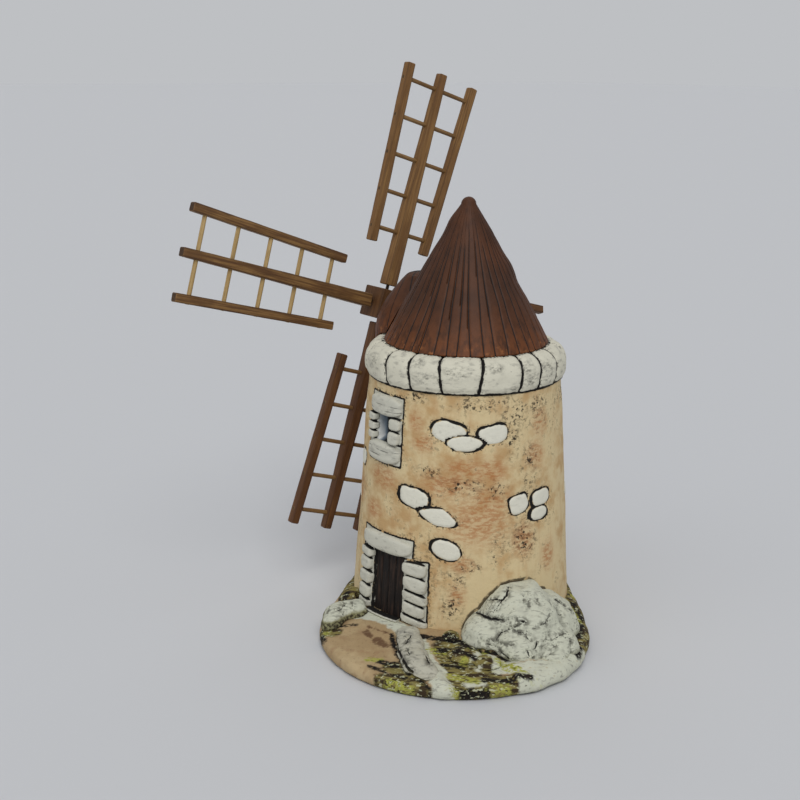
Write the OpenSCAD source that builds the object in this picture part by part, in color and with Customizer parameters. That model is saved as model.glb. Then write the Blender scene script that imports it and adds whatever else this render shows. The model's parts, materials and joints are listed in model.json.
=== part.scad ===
// Hand-built clay model of a Mediterranean tower windmill, with wooden ladder sails that turn.
// The origin is on the tower's axis at the underside of the clay ground, +Z is up, and the sails face -Y.

/* [Ground] */
// Thickness of the clay ground under the tower
ground_thickness = 10; // [7:0.5:14]
// Height of the rounded rim of the ground
rim_height = 6; // [4.5:0.5:7]
// Radius of the ground in front of the door and the rocks
front_radius = 59.5; // [54:0.5:66]
// Distance of the front ground's centre from the tower's axis
front_shift = 35; // [28:0.5:42]
// Direction in which the ground reaches furthest, in degrees from +X
front_turn = 45.5; // [38:0.5:53]
// How far the ground shows round the tower at the back
back_margin = 1.5; // [1:0.5:6]

/* [Rocks] */
// Direction of the middle of the rock outcrop, in degrees
outcrop_turn = 78; // [74:0.5:82]
// Angle round the tower that the outcrop covers
outcrop_angle = 58; // [46:1:66]
// Height of the outcrop above the ground
outcrop_height = 21; // [16:0.5:27]
// How far the outcrop comes out from the wall
outcrop_reach = 31; // [24:0.5:34]
// Direction of the ledge on the far side of the path, in degrees
ledge_turn = -6; // [-10:0.5:-4]
// Angle that the ledge swings through
ledge_angle = 6; // [2:0.5:10]
// Height of the ledge above the ground
ledge_height = 5; // [3.5:0.5:8]
// How far the ledge comes out from the wall
ledge_reach = 24; // [19:0.5:26]
// Direction of the kerb beside the path where it starts at the door
kerb_turn = 27; // [25:0.5:30]
// Angle that the kerb swings through on its way to the front
kerb_angle = 14; // [8:0.5:18]
// Height of the kerb above the ground
kerb_height = 3; // [2:0.1:6]
// Width of the kerb
kerb_width = 13; // [9:0.5:14]
// How far the kerb comes out from the wall
kerb_reach = 38; // [30:0.5:40]
// Direction of the mossy banks, in degrees
bank_turn = 20; // [16:0.5:24]
// Angle between the outermost mossy banks
bank_angle = 74; // [68:1:80]
// Height of the mossy banks above the ground
bank_height = 5; // [3:0.5:8]
// How far the mossy banks come out from the wall
bank_reach = 30; // [24:0.5:34]

/* [Tower] */
// Height of the tower wall, up to the collar
tower_height = 102.8; // [90:0.2:120]
// Radius of the tower at the ground
tower_bottom_radius = 49.6; // [46:0.2:54]
// Radius of the tower under the collar
tower_top_radius = 42.8; // [40:0.2:46]
// Thickness of the clay wall
wall_thickness = 7; // [5.5:0.25:9]

/* [Collar] */
// Height of the stone collar
collar_height = 14.6; // [12:0.2:18]
// How far the collar stands out from the wall under it
collar_overhang = 1.8; // [1:0.1:4]
// Width of the collar's rounded shoulder, from its bulge in to the roof's edge
collar_shoulder = 8.1; // [5:0.1:9]
// Number of stones scored into the collar
collar_stones = 18; // [12:1:24]
// Width of the scored joints
joint_width = 1.1; // [0.6:0.1:1.6]
// Depth of the scored joints
joint_depth = 0.9; // [0.5:0.1:1.4]

/* [Roof] */
// Height of the roof from its edge to its tip
roof_height = 62.7; // [54:0.2:72]
// Thickness of the roof's clay
roof_wall = 4.5; // [3.5:0.25:6]
// Height of the small lip at the roof's edge
roof_lip = 1.8; // [1:0.1:3]
// Radius of the rounded tip
roof_tip_radius = 2.6; // [1.8:0.1:3.6]
// How far the roof's slope bulges at half its height
roof_bulge = 0.8; // [0:0.1:2]
// Number of grooves scored down the roof
roof_grooves = 36; // [24:1:48]
// Width of the grooves scored in the roof and the door
groove_width = 0.7; // [0.4:0.1:1.2]
// Depth of those grooves
groove_depth = 0.7; // [0.4:0.1:1.1]

/* [Hood] */
// Distance of the hood's centre inside the roof's edge
hood_inset = 8.5; // [6:0.1:13]
// Radius of the hood's foot
hood_radius = 23.6; // [21:0.2:25]
// Radius of the hood where its slope meets its low crown
hood_top_radius = 9.4; // [6:0.2:11]
// Height of the hood above the roof's edge
hood_height = 25.1; // [21:0.1:29]
// How far the hood's flat front stands out past the collar
hood_overhang = 2.4; // [1:0.1:4]

/* [Door] */
// Direction that the door faces, in degrees from +X
door_turn = 7.5; // [2:0.5:10]
// Width of the plank door
door_width = 17.6; // [14:0.2:20]
// Height of the plank door
door_height = 28.4; // [23:0.2:31]
// Depth of the door's recess in the wall
door_recess = 3; // [2:0.1:4]
// Thickness of the door
door_thickness = 1.9; // [1.2:0.1:2.6]
// Width of the stones on one side of the door
door_left_width = 10; // [7:0.2:12]
// Width of the stones on the other side of the door
door_right_width = 12.6; // [8:0.2:14]
// Number of stones on each side of the door
door_jamb_stones = 5; // [3:1:7]
// How far the lintel runs past the door over its wider stones
door_lintel_run = 4.8; // [3:0.2:8]
// Height of the lintel over the door
door_lintel_height = 8; // [6:0.2:11]
// Height of the door's sill
door_sill_height = 1.6; // [1:0.1:2.4]
// How far the sill stands out from the wall
door_sill_proud = 3.6; // [2.8:0.1:5]

/* [Window] */
// Direction that the window faces, in degrees from +X
window_turn = -2.2; // [-6:0.2:4]
// Width of the window's niche
window_width = 9.8; // [8:0.2:12]
// Height of the window's niche
window_height = 12; // [9:0.2:15]
// Distance of the window's stones below the collar
window_drop = 4.6; // [2:0.2:9]
// Depth of the niche
window_depth = 3.6; // [2:0.1:4.5]
// Height of the stones over and under the window
window_lintel_height = 8.8; // [6:0.2:10]
// Width of the stones on one side of the window
window_left_width = 5.4; // [4:0.2:8]
// Width of the stones on the other side of the window
window_right_width = 6.8; // [4:0.2:9]

/* [Stones] */
// How far the stones round the door and the window stand out from the wall
stone_proud = 2.4; // [1.5:0.1:3.5]
// Gap between neighbouring stones
stone_gap = 0.7; // [0.4:0.1:1.2]
// Bevel along the edges of the stones
stone_bevel = 0.7; // [0.3:0.1:1.1]

/* [Sails] */
// Gap between the hood's front and the hub, crossed by the windshaft
hub_gap = 7.15; // [5.5:0.05:10]
// Height of the hub's centre above the roof's edge
hub_rise = 6.1; // [4.5:0.1:8]
// Side of the wooden hub block
hub_size = 14.5; // [12:0.1:16]
// Lean of the first sail from upright, in degrees
sail_lean_angle = 17.8; // [0:0.2:44]
// Length of a sail from the hub's centre to the tip of its stock
sail_length = 112; // [100:0.5:118]
// Gap between the hub and the foot of a stock, crossed by its pin
stock_gap = 2.1; // [1:0.1:3]
// Side of a stock at its foot
stock_foot = 6.3; // [5:0.1:7.5]
// Side of a stock at its tip
stock_tip = 4; // [3.2:0.1:5]
// Distance of the rails' inner ends from the hub's centre
rail_start = 27.6; // [22:0.2:34]
// How far the rails stop short of the stock's tip
rail_short = 0.6; // [0:0.1:3]
// Side of a rail
rail_size = 4; // [3.2:0.1:4.8]
// Distance from the stock to a rail at the rail's inner end
rail_inner_spacing = 15.9; // [12:0.1:18]
// Distance from the stock to a rail at the rail's outer end
rail_outer_spacing = 19.6; // [16:0.1:22]
// Number of rungs in a sail
rung_count = 5; // [3:1:7]
// Diameter of a rung
rung_diameter = 2; // [1.5:0.1:2.6]
// Distance of the first and last rung from the rails' ends
rung_margin = 7; // [4:0.2:10]
// How far a rung's ends stand out of the rails
rung_proud = 0.3; // [0.1:0.1:1]
// Diameter of the pin between the hub and a stock
pin_diameter = 1.6; // [1.2:0.1:2.2]
// Length of the pin inside the hub, and inside the stock
pin_bite = 4.5; // [3:0.1:5]
// Diameter of the windshaft
shaft_diameter = 6; // [5:0.1:7]
// Length of the windshaft inside the hub
shaft_bite = 3; // [2:0.1:3.5]
// Length of the windshaft inside the roof
shaft_tail = 8; // [5:0.5:14]
// Angle by which each sail is twisted on its own pin, in degrees
sail_angles = [-1.6, -20.3, 1.4, 4.8]; // [-25:0.1:25]

/* [Fits] */
// Gap between pieces of clay that are seated on each other
seat_gap = 0.1; // [0.05:0.05:0.2]
// Clearance round rungs and pins in their holes
glue_gap = 0.04; // [0.02:0.01:0.08]
// Clearance round the windshaft in the hood
shaft_clearance = 0.06; // [0.03:0.01:0.1]
// Clearance round the windshaft in the roof behind the hood
roof_hole_clearance = 1; // [0.5:0.1:2]

/* [Hidden] */

$fn = 96;
// Sides of the ground's outline
ground_side_count = 48;
// Sides of the hewn-looking lumps that the rocks are pressed from
lump_side_count = 9;
// Steps along the curved profiles of the ground's rim, the collar, the roof and the hood
arc_step_count = 6;
// Overrun of every cut past the surface that it opens
overrun = 1;

// Heights of the main seams and of the hub
collar_z = ground_thickness + tower_height;
roof_z = collar_z + collar_height;
hub_z = roof_z + hub_rise;

// Distances from the tower's axis
collar_radius = tower_top_radius + collar_overhang;
roof_radius = collar_radius - collar_shoulder;
hood_reach = roof_radius - hood_inset;
hood_front = collar_radius + hood_overhang;
hub_reach = hood_front + hub_gap + hub_size / 2;

// Number of the sails, counted from the upper one towards the left as seen from the front
UPPER = 0;
LEFT = 1;
LOWER = 2;
RIGHT = 3;

// Colours of the painted clay and the woods
clay_beige = "#d2b68f";
stone_white = "#e9e6dd";
roof_brown = "#5e2d1f";
door_brown = "#31241d";
moss_brown = "#8f8258";
oak = "#8a5f35";
dark_oak = "#6b4426";
pale_wood = "#c79a5b";
wire = "#4a4238";

// Radius of the tower's outside at a height
function wall_radius(z) =
    tower_bottom_radius + (tower_top_radius - tower_bottom_radius) * (z - ground_thickness) / tower_height;
// Angle that a width covers on the tower's outside at a height
function wall_angle(width, z) = 2 * asin(width / 2 / wall_radius(z));
// Height of the ground's surface at a distance from the tower's axis, towards the front
function ground_z(distance) =
    let (foot = tower_bottom_radius + back_margin, rim = front_shift + front_radius)
    ground_thickness - (ground_thickness - rim_height) * max(0, distance - foot) / (rim - foot);
// The points of a list from last to first
function reversed(points) = [for (i = [len(points) - 1 : -1 : 0]) points[i]];

// A disc with a rounded upper edge
module rounded_disc(radius, height, rounding) {
    rotate_extrude($fn = ground_side_count)
        polygon(concat(
            [[0, 0], [radius - rounding / 2, 0], [radius, rounding / 2]],
            [for (i = [0 : arc_step_count])
                let (a = 90 * i / arc_step_count)
                [radius - rounding * (1 - cos(a)), height - rounding * (1 - sin(a))]],
            [[0, height]]
        ));
}

// The whole body of the clay ground
module ground_body() {
    hull() {
        rounded_disc(tower_bottom_radius + back_margin, ground_thickness, back_margin / 2);
        rotate([0, 0, front_turn])
            translate([front_shift, 0, 0])
                rounded_disc(front_radius, rim_height, rim_height / 2);
    }
}

// The tower's outside, grown by a gap, for cutting what leans on it
module tower_envelope(gap) {
    translate([0, 0, -overrun])
        cylinder(h = ground_thickness + overrun, r = tower_bottom_radius + gap);
    translate([0, 0, ground_thickness])
        cylinder(h = tower_height, r1 = tower_bottom_radius + gap, r2 = tower_top_radius + gap);
}

// What the door and its stones take up in front of the wall, with a gap, for cutting the rocks beside it
module door_envelope(gap) {
    start = door_left - door_left_span - door_gap_span;
    span = door_span + door_left_span + door_right_span + 2 * door_gap_span;
    rotate([0, 0, start])
        rotate_extrude(angle = span)
            polygon([
                [0, 0],
                [wall_radius(0) + door_sill_proud + gap, 0],
                [wall_radius(door_top_z) + door_sill_proud + gap, door_top_z],
                [0, door_top_z]
            ]);
}

// One lump of rock that leans in to a smaller crown, for hulls
module rock_lump(turn, distance, width, height) {
    shoulder_share = 0.6;
    waist_share = 0.8;
    crown_share = 0.4;
    foot_z = rim_height / 2;
    rise = ground_z(distance) - foot_z;
    rotate([0, 0, turn])
        translate([distance, 0, foot_z]) {
            $fn = lump_side_count;
            cylinder(h = rise, r = width);
            translate([0, 0, rise])
                cylinder(h = height * shoulder_share, r1 = width, r2 = width * waist_share);
            translate([-width * crown_share / 2, 0, rise])
                cylinder(h = height, r = width * crown_share);
        }
}

// Cuts rocks so that they seat against the tower, the ground and the stones beside the door
module seated() {
    difference() {
        children();
        tower_envelope(seat_gap);
        door_envelope(seat_gap);
        translate([0, 0, seat_gap])
            ground_body();
    }
}

// A heap of lumps, grown by a gap; each row of shares is turn, reach, width and height
module rock_heap(turn, angle, reach, height, lump_shares, gap) {
    foot = tower_bottom_radius;
    for (s = lump_shares)
        hull()
            rock_lump(turn + angle * s[0], foot + reach * s[1], reach * s[2] + gap, height * s[3] + gap);
}

// The lumps of the outcrop, grown by a gap
module outcrop_heap(gap) {
    lump_shares = [
        [0.00, 0.16, 0.66, 1.00], [-0.28, 0.20, 0.39, 0.43], [0.24, 0.20, 0.48, 0.68],
        [-0.10, 0.53, 0.42, 0.43], [0.10, 0.59, 0.42, 0.38], [0.03, 0.85, 0.26, 0.17]
    ];
    rock_heap(outcrop_turn, outcrop_angle, outcrop_reach, outcrop_height, lump_shares, gap);
}

// The ridge of the ledge, grown by a gap
module ledge_ridge(gap) {
    lump_shares = [[0.00, 0.30, 0.27, 0.90], [-0.30, 0.62, 0.27, 1.00], [0.40, 0.86, 0.20, 0.70]];
    rock_ridge(ledge_turn, ledge_angle, ledge_reach, ledge_reach, ledge_height, lump_shares, gap);
}

// A ridge that runs from lump to lump, grown by a gap; each row of shares is turn, reach, width and height
module rock_ridge(turn, angle, reach, width, height, lump_shares, gap) {
    foot = tower_bottom_radius;
    for (i = [1 : len(lump_shares) - 1])
        hull()
            for (s = [lump_shares[i - 1], lump_shares[i]])
                rock_lump(turn + angle * s[0], foot + reach * s[1], width * s[2] + gap, height * s[3] + gap);
}

// One stone on the tower's outside, between two heights and round a stretch of the wall
module wall_stone(start, span, z0, z1, proud) {
    rotate([0, 0, start])
        rotate_extrude(angle = span)
            polygon([
                [wall_radius(z0) + seat_gap, z0],
                [wall_radius(z0) + proud - stone_bevel, z0],
                [wall_radius(z0) + proud, z0 + stone_bevel],
                [wall_radius(z1) + proud, z1 - stone_bevel],
                [wall_radius(z1) + proud - stone_bevel, z1],
                [wall_radius(z1) + seat_gap, z1]
            ]);
}

// A stack of stones of equal height on the tower's outside
module stone_stack(start, span, z0, z1, count) {
    pitch = (z1 - z0 + stone_gap) / count;
    for (i = [0 : count - 1])
        wall_stone(start, span, z0 + pitch * i, z0 + pitch * (i + 1) - stone_gap, stone_proud);
}

// A recess in the tower's outside
module wall_recess(turn, width, z0, z1, depth) {
    span = wall_angle(width, z0);
    rotate([0, 0, turn - span / 2])
        rotate_extrude(angle = span)
            polygon([
                [wall_radius(z0) - depth, z0],
                [wall_radius(z0) + overrun, z0],
                [wall_radius(z1) + overrun, z1],
                [wall_radius(z1) - depth, z1]
            ]);
}

// Places of the door, its stones and the window's stones
door_z = ground_thickness + door_sill_height;
door_top_z = ground_thickness + door_height;
door_span = wall_angle(door_width, door_z);
door_left_span = wall_angle(door_left_width, door_z);
door_right_span = wall_angle(door_right_width, door_z);
door_lintel_span = wall_angle(door_lintel_run, door_z);
door_gap_span = wall_angle(stone_gap, door_z);
door_left = door_turn - door_span / 2;
door_right = door_turn + door_span / 2;
window_top_z = collar_z - window_drop - window_lintel_height;
window_z = window_top_z - window_height;
window_span = wall_angle(window_width, window_z);
window_left_span = wall_angle(window_left_width, window_z);
window_right_span = wall_angle(window_right_width, window_z);
window_left = window_turn - window_span / 2;
window_right = window_turn + window_span / 2;

module ground_base() {
    color(moss_brown)
        ground_body();
}

module rock_outcrop() {
    color(stone_white)
        seated()
            outcrop_heap(0);
}

module rock_ledge() {
    color(stone_white)
        seated()
            ledge_ridge(0);
}

module path_kerb() {
    lump_shares = [
        [0.00, 0.22, 0.44, 0.80], [0.40, 0.54, 0.52, 1.00],
        [0.75, 0.80, 0.54, 1.00], [1.00, 0.96, 0.40, 0.60]
    ];
    color(stone_white)
        seated()
            rock_ridge(kerb_turn, kerb_angle, kerb_reach, kerb_width, kerb_height, lump_shares, 0);
}

module moss_banks() {
    lump_shares = [
        [-0.50, 0.10, 0.24, 1.00], [0.35, 0.21, 0.15, 0.50],
        [0.42, 0.66, 0.26, 0.50], [0.52, 0.86, 0.22, 0.40]
    ];
    color(moss_brown)
        seated()
            difference() {
                rock_heap(bank_turn, bank_angle, bank_reach, bank_height, lump_shares, 0);
                outcrop_heap(3 * seat_gap);
                ledge_ridge(3 * seat_gap);
            }
}

module tower_wall() {
    color(clay_beige)
        difference() {
            rotate_extrude()
                polygon([
                    [tower_bottom_radius - wall_thickness, ground_thickness],
                    [tower_bottom_radius, ground_thickness],
                    [tower_top_radius, collar_z],
                    [tower_top_radius - wall_thickness, collar_z]
                ]);
            wall_recess(door_turn, door_width, door_z, door_top_z, door_recess);
            wall_recess(window_turn, window_width, window_z, window_top_z, window_depth);
        }
}

// A thin cut that follows a turned profile, between its outer and inner points
module profile_cut(outer, inner, width) {
    rotate([90, 0, 0])
        linear_extrude(height = width, center = true)
            polygon(concat(outer, reversed(inner)));
}

// Outside of the collar, from its lower edge over its rounded shoulder to the roof's edge
function collar_profile(grow) =
    let (foot_share = 0.2, tuck_share = 0.5)
    concat(
        [[collar_radius - collar_overhang * tuck_share + grow, collar_z]],
        [[collar_radius + grow, collar_z + collar_height * foot_share]],
        [for (i = [0 : arc_step_count])
            let (a = 90 * i / arc_step_count)
            [roof_radius + collar_shoulder * cos(a) + grow, roof_z - collar_shoulder * (1 - sin(a)) + grow]]
    );

module collar_ring() {
    inner_radius = roof_radius - roof_lip - roof_wall;
    color(stone_white)
        difference() {
            rotate_extrude()
                polygon(concat([[inner_radius, roof_z], [inner_radius, collar_z]], collar_profile(0)));
            for (i = [0 : collar_stones - 1])
                rotate([0, 0, 360 * i / collar_stones])
                    profile_cut(collar_profile(overrun), collar_profile(-joint_depth), joint_width);
        }
}

// The bulging slope of the roof, from its lip towards its tip as far as a share of it
function roof_slope(grow, top_share) =
    let (
        foot = [roof_radius - roof_lip / 2, roof_z + roof_lip],
        top = [roof_tip_radius, roof_z + roof_height - roof_tip_radius]
    )
    [for (i = [0 : arc_step_count])
        let (s = top_share * i / arc_step_count)
        foot + (top - foot) * s + [roof_bulge * sin(180 * s) + grow, 0]];

// Outside of the roof, from its lip up to its rounded tip
function roof_profile(grow) =
    let (tip_z = roof_z + roof_height - roof_tip_radius)
    concat(
        [[roof_radius + grow, roof_z]],
        roof_slope(grow, 1),
        [for (i = [1 : arc_step_count])
            let (a = 90 * i / arc_step_count)
            [(roof_tip_radius + grow) * cos(a), tip_z + (roof_tip_radius + grow) * sin(a)]]
    );

module roof_cone() {
    inner_tip_share = 0.8;
    groove_top_share = 0.84;
    lip_cut = [[roof_radius, roof_z - overrun]];
    color(roof_brown)
        difference() {
            rotate_extrude()
                polygon(concat(
                    [[0, roof_z + roof_height * inner_tip_share]],
                    [[roof_radius - roof_lip - roof_wall, roof_z]],
                    roof_profile(0)
                ));
            for (i = [0 : roof_grooves - 1])
                rotate([0, 0, (360 * i + 180) / roof_grooves])
                    profile_cut(
                        concat(lip_cut, roof_slope(overrun, groove_top_share)),
                        roof_slope(-groove_depth, groove_top_share),
                        groove_width
                    );
            translate([0, 0, hub_z])
                rotate([90, 0, 0])
                    cylinder(h = hub_reach, d = shaft_diameter + 2 * roof_hole_clearance);
        }
}

// The bulging slope of the hood, from its foot upwards, round its own axis
function hood_slope() =
    let (bulge_share = 1.7, taper = hood_radius - hood_top_radius)
    [for (i = [0 : arc_step_count])
        let (s = i / arc_step_count)
        [hood_radius - taper * pow(s, bulge_share), hood_height * s]];

module roof_hood() {
    crown_share = 0.1;
    foot_z = -collar_height / 2;
    color(roof_brown)
        difference() {
            translate([0, -hood_reach, roof_z])
                rotate_extrude()
                    polygon(concat(
                        [[0, foot_z], [hood_radius, foot_z]],
                        hood_slope(),
                        [for (i = [1 : arc_step_count])
                            let (a = 90 * i / arc_step_count)
                            hood_top_radius * [cos(a), crown_share * sin(a)] + [0, hood_height]]
                    ));
            rotate_extrude()
                polygon(concat([[0, roof_z - overrun]], roof_profile(seat_gap)));
            rotate_extrude()
                polygon(concat(
                    [[0, roof_z + seat_gap], [0, collar_z - overrun], [collar_radius, collar_z - overrun]],
                    collar_profile(seat_gap)
                ));
            translate([-hood_radius - overrun, -hood_front - 2 * hood_radius, collar_z])
                cube([2 * (hood_radius + overrun), 2 * hood_radius, collar_height + roof_height]);
            translate([0, 0, hub_z])
                rotate([90, 0, 0])
                    cylinder(h = hub_reach, d = shaft_diameter + 2 * shaft_clearance);
        }
}

module door_leaf() {
    plank_count = 4;
    back = wall_radius(door_top_z) - door_recess;
    front = back + door_thickness;
    cut = front - groove_depth;
    lean = wall_radius(door_z) - wall_radius(door_top_z);
    edge_span = wall_angle(seat_gap, door_z);
    color(door_brown)
        difference() {
            rotate([0, 0, door_left + edge_span])
                rotate_extrude(angle = door_span - 2 * edge_span)
                    polygon([
                        [back + lean + seat_gap, door_z + seat_gap],
                        [front + lean, door_z + seat_gap],
                        [front, door_top_z - seat_gap],
                        [back + seat_gap, door_top_z - seat_gap]
                    ]);
            for (i = [1 : plank_count - 1])
                rotate([0, 0, door_left + door_span * i / plank_count])
                    profile_cut(
                        [[front + lean + overrun, door_z], [front + overrun, door_top_z]],
                        [[cut + lean, door_z], [cut, door_top_z]],
                        groove_width
                    );
        }
}

module door_sill() {
    color(stone_white)
        wall_stone(door_left, door_span,
            ground_thickness + seat_gap, door_z - seat_gap / 2, door_sill_proud);
}

module door_lintel() {
    color(stone_white)
        wall_stone(door_left - door_left_span, door_left_span + door_span + door_lintel_span,
            door_top_z + stone_gap, door_top_z + stone_gap + door_lintel_height, stone_proud);
}

module door_jamb_left() {
    color(stone_white)
        stone_stack(door_left - door_left_span, door_left_span - door_gap_span,
            ground_thickness + seat_gap, door_top_z, door_jamb_stones);
}

module door_jamb_right() {
    color(stone_white)
        stone_stack(door_right + door_gap_span, door_right_span - door_gap_span,
            ground_thickness + seat_gap, door_top_z, door_jamb_stones);
}

module window_lintel() {
    color(stone_white)
        wall_stone(window_left - window_left_span, window_span + window_left_span + window_right_span,
            window_top_z, window_top_z + window_lintel_height, stone_proud);
}

module window_sill() {
    color(stone_white)
        wall_stone(window_left - window_left_span, window_span + window_left_span + window_right_span,
            window_z - window_lintel_height, window_z, stone_proud);
}

module window_jamb_left() {
    stone_count = 3;
    color(stone_white)
        stone_stack(window_left - window_left_span, window_left_span,
            window_z + stone_gap, window_top_z - stone_gap, stone_count);
}

module window_jamb_right() {
    stone_count = 2;
    color(stone_white)
        stone_stack(window_right, window_right_span,
            window_z + stone_gap, window_top_z - stone_gap, stone_count);
}

// Turns a sail's own frame, with its length along +Z, to its place on the hub
module place_sail(sail) {
    translate([0, -hub_reach, hub_z])
        rotate([0, -sail_lean_angle - 90 * sail, 0])
            children();
}

// Sizes along a sail
stock_start = hub_size / 2 + stock_gap;
rail_end = sail_length - rail_short;
rail_splay = atan((rail_outer_spacing - rail_inner_spacing) / (rail_end - rail_start));
rung_pitch = (rail_end - rail_start - 2 * rung_margin) / (rung_count - 1);
pin_length = stock_gap + 2 * pin_bite;
function rung_place(i) = rail_start + rung_margin + rung_pitch * i;
function rail_spacing(r) =
    let (share = (r - rail_start) / (rail_end - rail_start))
    rail_inner_spacing + (rail_outer_spacing - rail_inner_spacing) * share;

// Holes for all the rungs of one sail
module rung_holes() {
    for (i = [0 : rung_count - 1])
        translate([-rail_outer_spacing - rail_size, 0, rung_place(i)])
            rotate([0, 90, 0])
                cylinder(h = 2 * (rail_outer_spacing + rail_size), d = rung_diameter + 2 * glue_gap);
}

// The tapered outline of a stock, drawn upwards
module stock_outline() {
    polygon([
        [-stock_foot / 2, stock_start], [stock_foot / 2, stock_start],
        [stock_tip / 2, sail_length], [-stock_tip / 2, sail_length]
    ]);
}

module sail_stock(sail) {
    color(sail == UPPER ? oak : dark_oak)
        place_sail(sail)
            rotate([0, 0, sail_angles[sail]])
                difference() {
                    intersection() {
                        rotate([90, 0, 0])
                            linear_extrude(height = stock_foot, center = true)
                                stock_outline();
                        rotate([90, 0, 90])
                            linear_extrude(height = stock_foot, center = true)
                                stock_outline();
                    }
                    rung_holes();
                    translate([0, 0, stock_start - overrun])
                        cylinder(h = pin_bite + glue_gap + overrun, d = pin_diameter + 2 * glue_gap);
                }
}

// A rail on one side of a stock; side is 1 or -1
module sail_rail(sail, side) {
    rail_length = (rail_end - rail_start) / cos(rail_splay);
    color(sail == UPPER ? oak : dark_oak)
        place_sail(sail)
            rotate([0, 0, sail_angles[sail]])
                difference() {
                    translate([side * rail_inner_spacing, 0, rail_start])
                        rotate([0, side * rail_splay, 0])
                            translate([-rail_size / 2, -rail_size / 2, 0])
                                cube([rail_size, rail_size, rail_length]);
                    rung_holes();
                }
}

module sail_rungs(sail) {
    color(pale_wood)
        place_sail(sail)
            rotate([0, 0, sail_angles[sail]])
                for (i = [0 : rung_count - 1]) {
                    reach = rail_spacing(rung_place(i)) + rail_size / 2 / cos(rail_splay) + rung_proud;
                    translate([-reach, 0, rung_place(i)])
                        rotate([0, 90, 0])
                            cylinder(h = 2 * reach, d = rung_diameter);
                }
}

module sail_pin(sail) {
    color(wire)
        place_sail(sail)
            translate([0, 0, hub_size / 2 - pin_bite])
                cylinder(h = pin_length, d = pin_diameter);
}

module hub_block() {
    color(dark_oak)
        difference() {
            translate([0, -hub_reach, hub_z])
                rotate([0, -sail_lean_angle, 0])
                    cube(hub_size, center = true);
            for (sail = [UPPER, LEFT, LOWER, RIGHT])
                place_sail(sail)
                    translate([0, 0, hub_size / 2 - pin_bite - glue_gap])
                        cylinder(h = pin_bite + glue_gap + overrun, d = pin_diameter + 2 * glue_gap);
            translate([0, hub_size / 2 + overrun - hub_reach, hub_z])
                rotate([90, 0, 0])
                    cylinder(h = shaft_bite + glue_gap + overrun, d = shaft_diameter + 2 * glue_gap);
        }
}

module windshaft() {
    shaft_front = hub_reach - hub_size / 2 + shaft_bite;
    shaft_back = roof_radius - roof_wall - shaft_tail;
    color(oak)
        translate([0, -shaft_back, hub_z])
            rotate([90, 0, 0])
                cylinder(h = shaft_front - shaft_back, d = shaft_diameter);
}

ground_base();
rock_outcrop();
rock_ledge();
path_kerb();
moss_banks();
tower_wall();
collar_ring();
roof_cone();
roof_hood();
door_leaf();
door_sill();
door_lintel();
door_jamb_left();
door_jamb_right();
window_lintel();
window_sill();
window_jamb_left();
window_jamb_right();
windshaft();
hub_block();
sail_stock(UPPER);  // sail_upper_stock
sail_rail(UPPER, 1);  // sail_upper_rail_a
sail_rail(UPPER, -1);  // sail_upper_rail_b
sail_rungs(UPPER);  // sail_upper_rungs
sail_pin(UPPER);  // sail_upper_pin
sail_stock(LEFT);  // sail_left_stock
sail_rail(LEFT, 1);  // sail_left_rail_a
sail_rail(LEFT, -1);  // sail_left_rail_b
sail_rungs(LEFT);  // sail_left_rungs
sail_pin(LEFT);  // sail_left_pin
sail_stock(LOWER);  // sail_lower_stock
sail_rail(LOWER, 1);  // sail_lower_rail_a
sail_rail(LOWER, -1);  // sail_lower_rail_b
sail_rungs(LOWER);  // sail_lower_rungs
sail_pin(LOWER);  // sail_lower_pin
sail_stock(RIGHT);  // sail_right_stock
sail_rail(RIGHT, 1);  // sail_right_rail_a
sail_rail(RIGHT, -1);  // sail_right_rail_b
sail_rungs(RIGHT);  // sail_right_rungs
sail_pin(RIGHT);  // sail_right_pin
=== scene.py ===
"""Hand-painted clay windmill with wooden ladder sails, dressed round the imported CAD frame. Metres, +Z up."""

import json
import math

import bpy
import numpy as np
from mathutils import Matrix, Vector
from mathutils.kdtree import KDTree


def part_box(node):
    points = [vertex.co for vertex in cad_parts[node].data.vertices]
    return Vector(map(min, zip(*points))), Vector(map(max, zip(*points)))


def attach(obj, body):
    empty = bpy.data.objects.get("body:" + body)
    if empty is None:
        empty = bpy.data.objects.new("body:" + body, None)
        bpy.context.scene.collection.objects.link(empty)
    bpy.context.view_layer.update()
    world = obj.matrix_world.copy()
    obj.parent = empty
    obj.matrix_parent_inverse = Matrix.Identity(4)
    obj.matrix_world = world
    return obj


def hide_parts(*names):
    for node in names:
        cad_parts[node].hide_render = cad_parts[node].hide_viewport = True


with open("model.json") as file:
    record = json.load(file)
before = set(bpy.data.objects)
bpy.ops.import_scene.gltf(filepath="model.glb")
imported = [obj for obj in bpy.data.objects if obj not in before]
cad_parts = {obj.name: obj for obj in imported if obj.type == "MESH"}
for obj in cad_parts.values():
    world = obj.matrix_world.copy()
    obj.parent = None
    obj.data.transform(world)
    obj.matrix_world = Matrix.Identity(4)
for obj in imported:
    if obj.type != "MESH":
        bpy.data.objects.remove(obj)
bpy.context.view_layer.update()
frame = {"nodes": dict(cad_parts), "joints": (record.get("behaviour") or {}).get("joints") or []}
MM = 0.001
# A distance in mm that is out of every paint's reach
FAR = 9.0

# Sizes taken from the frame


def mesh_arrays(mesh):
    """Points and normals of a mesh."""
    points, normals = np.empty(len(mesh.vertices) * 3), np.empty(len(mesh.vertices) * 3)
    mesh.vertices.foreach_get("co", points)
    mesh.vertices.foreach_get("normal", normals)
    return points.reshape(-1, 3), normals.reshape(-1, 3)


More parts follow.
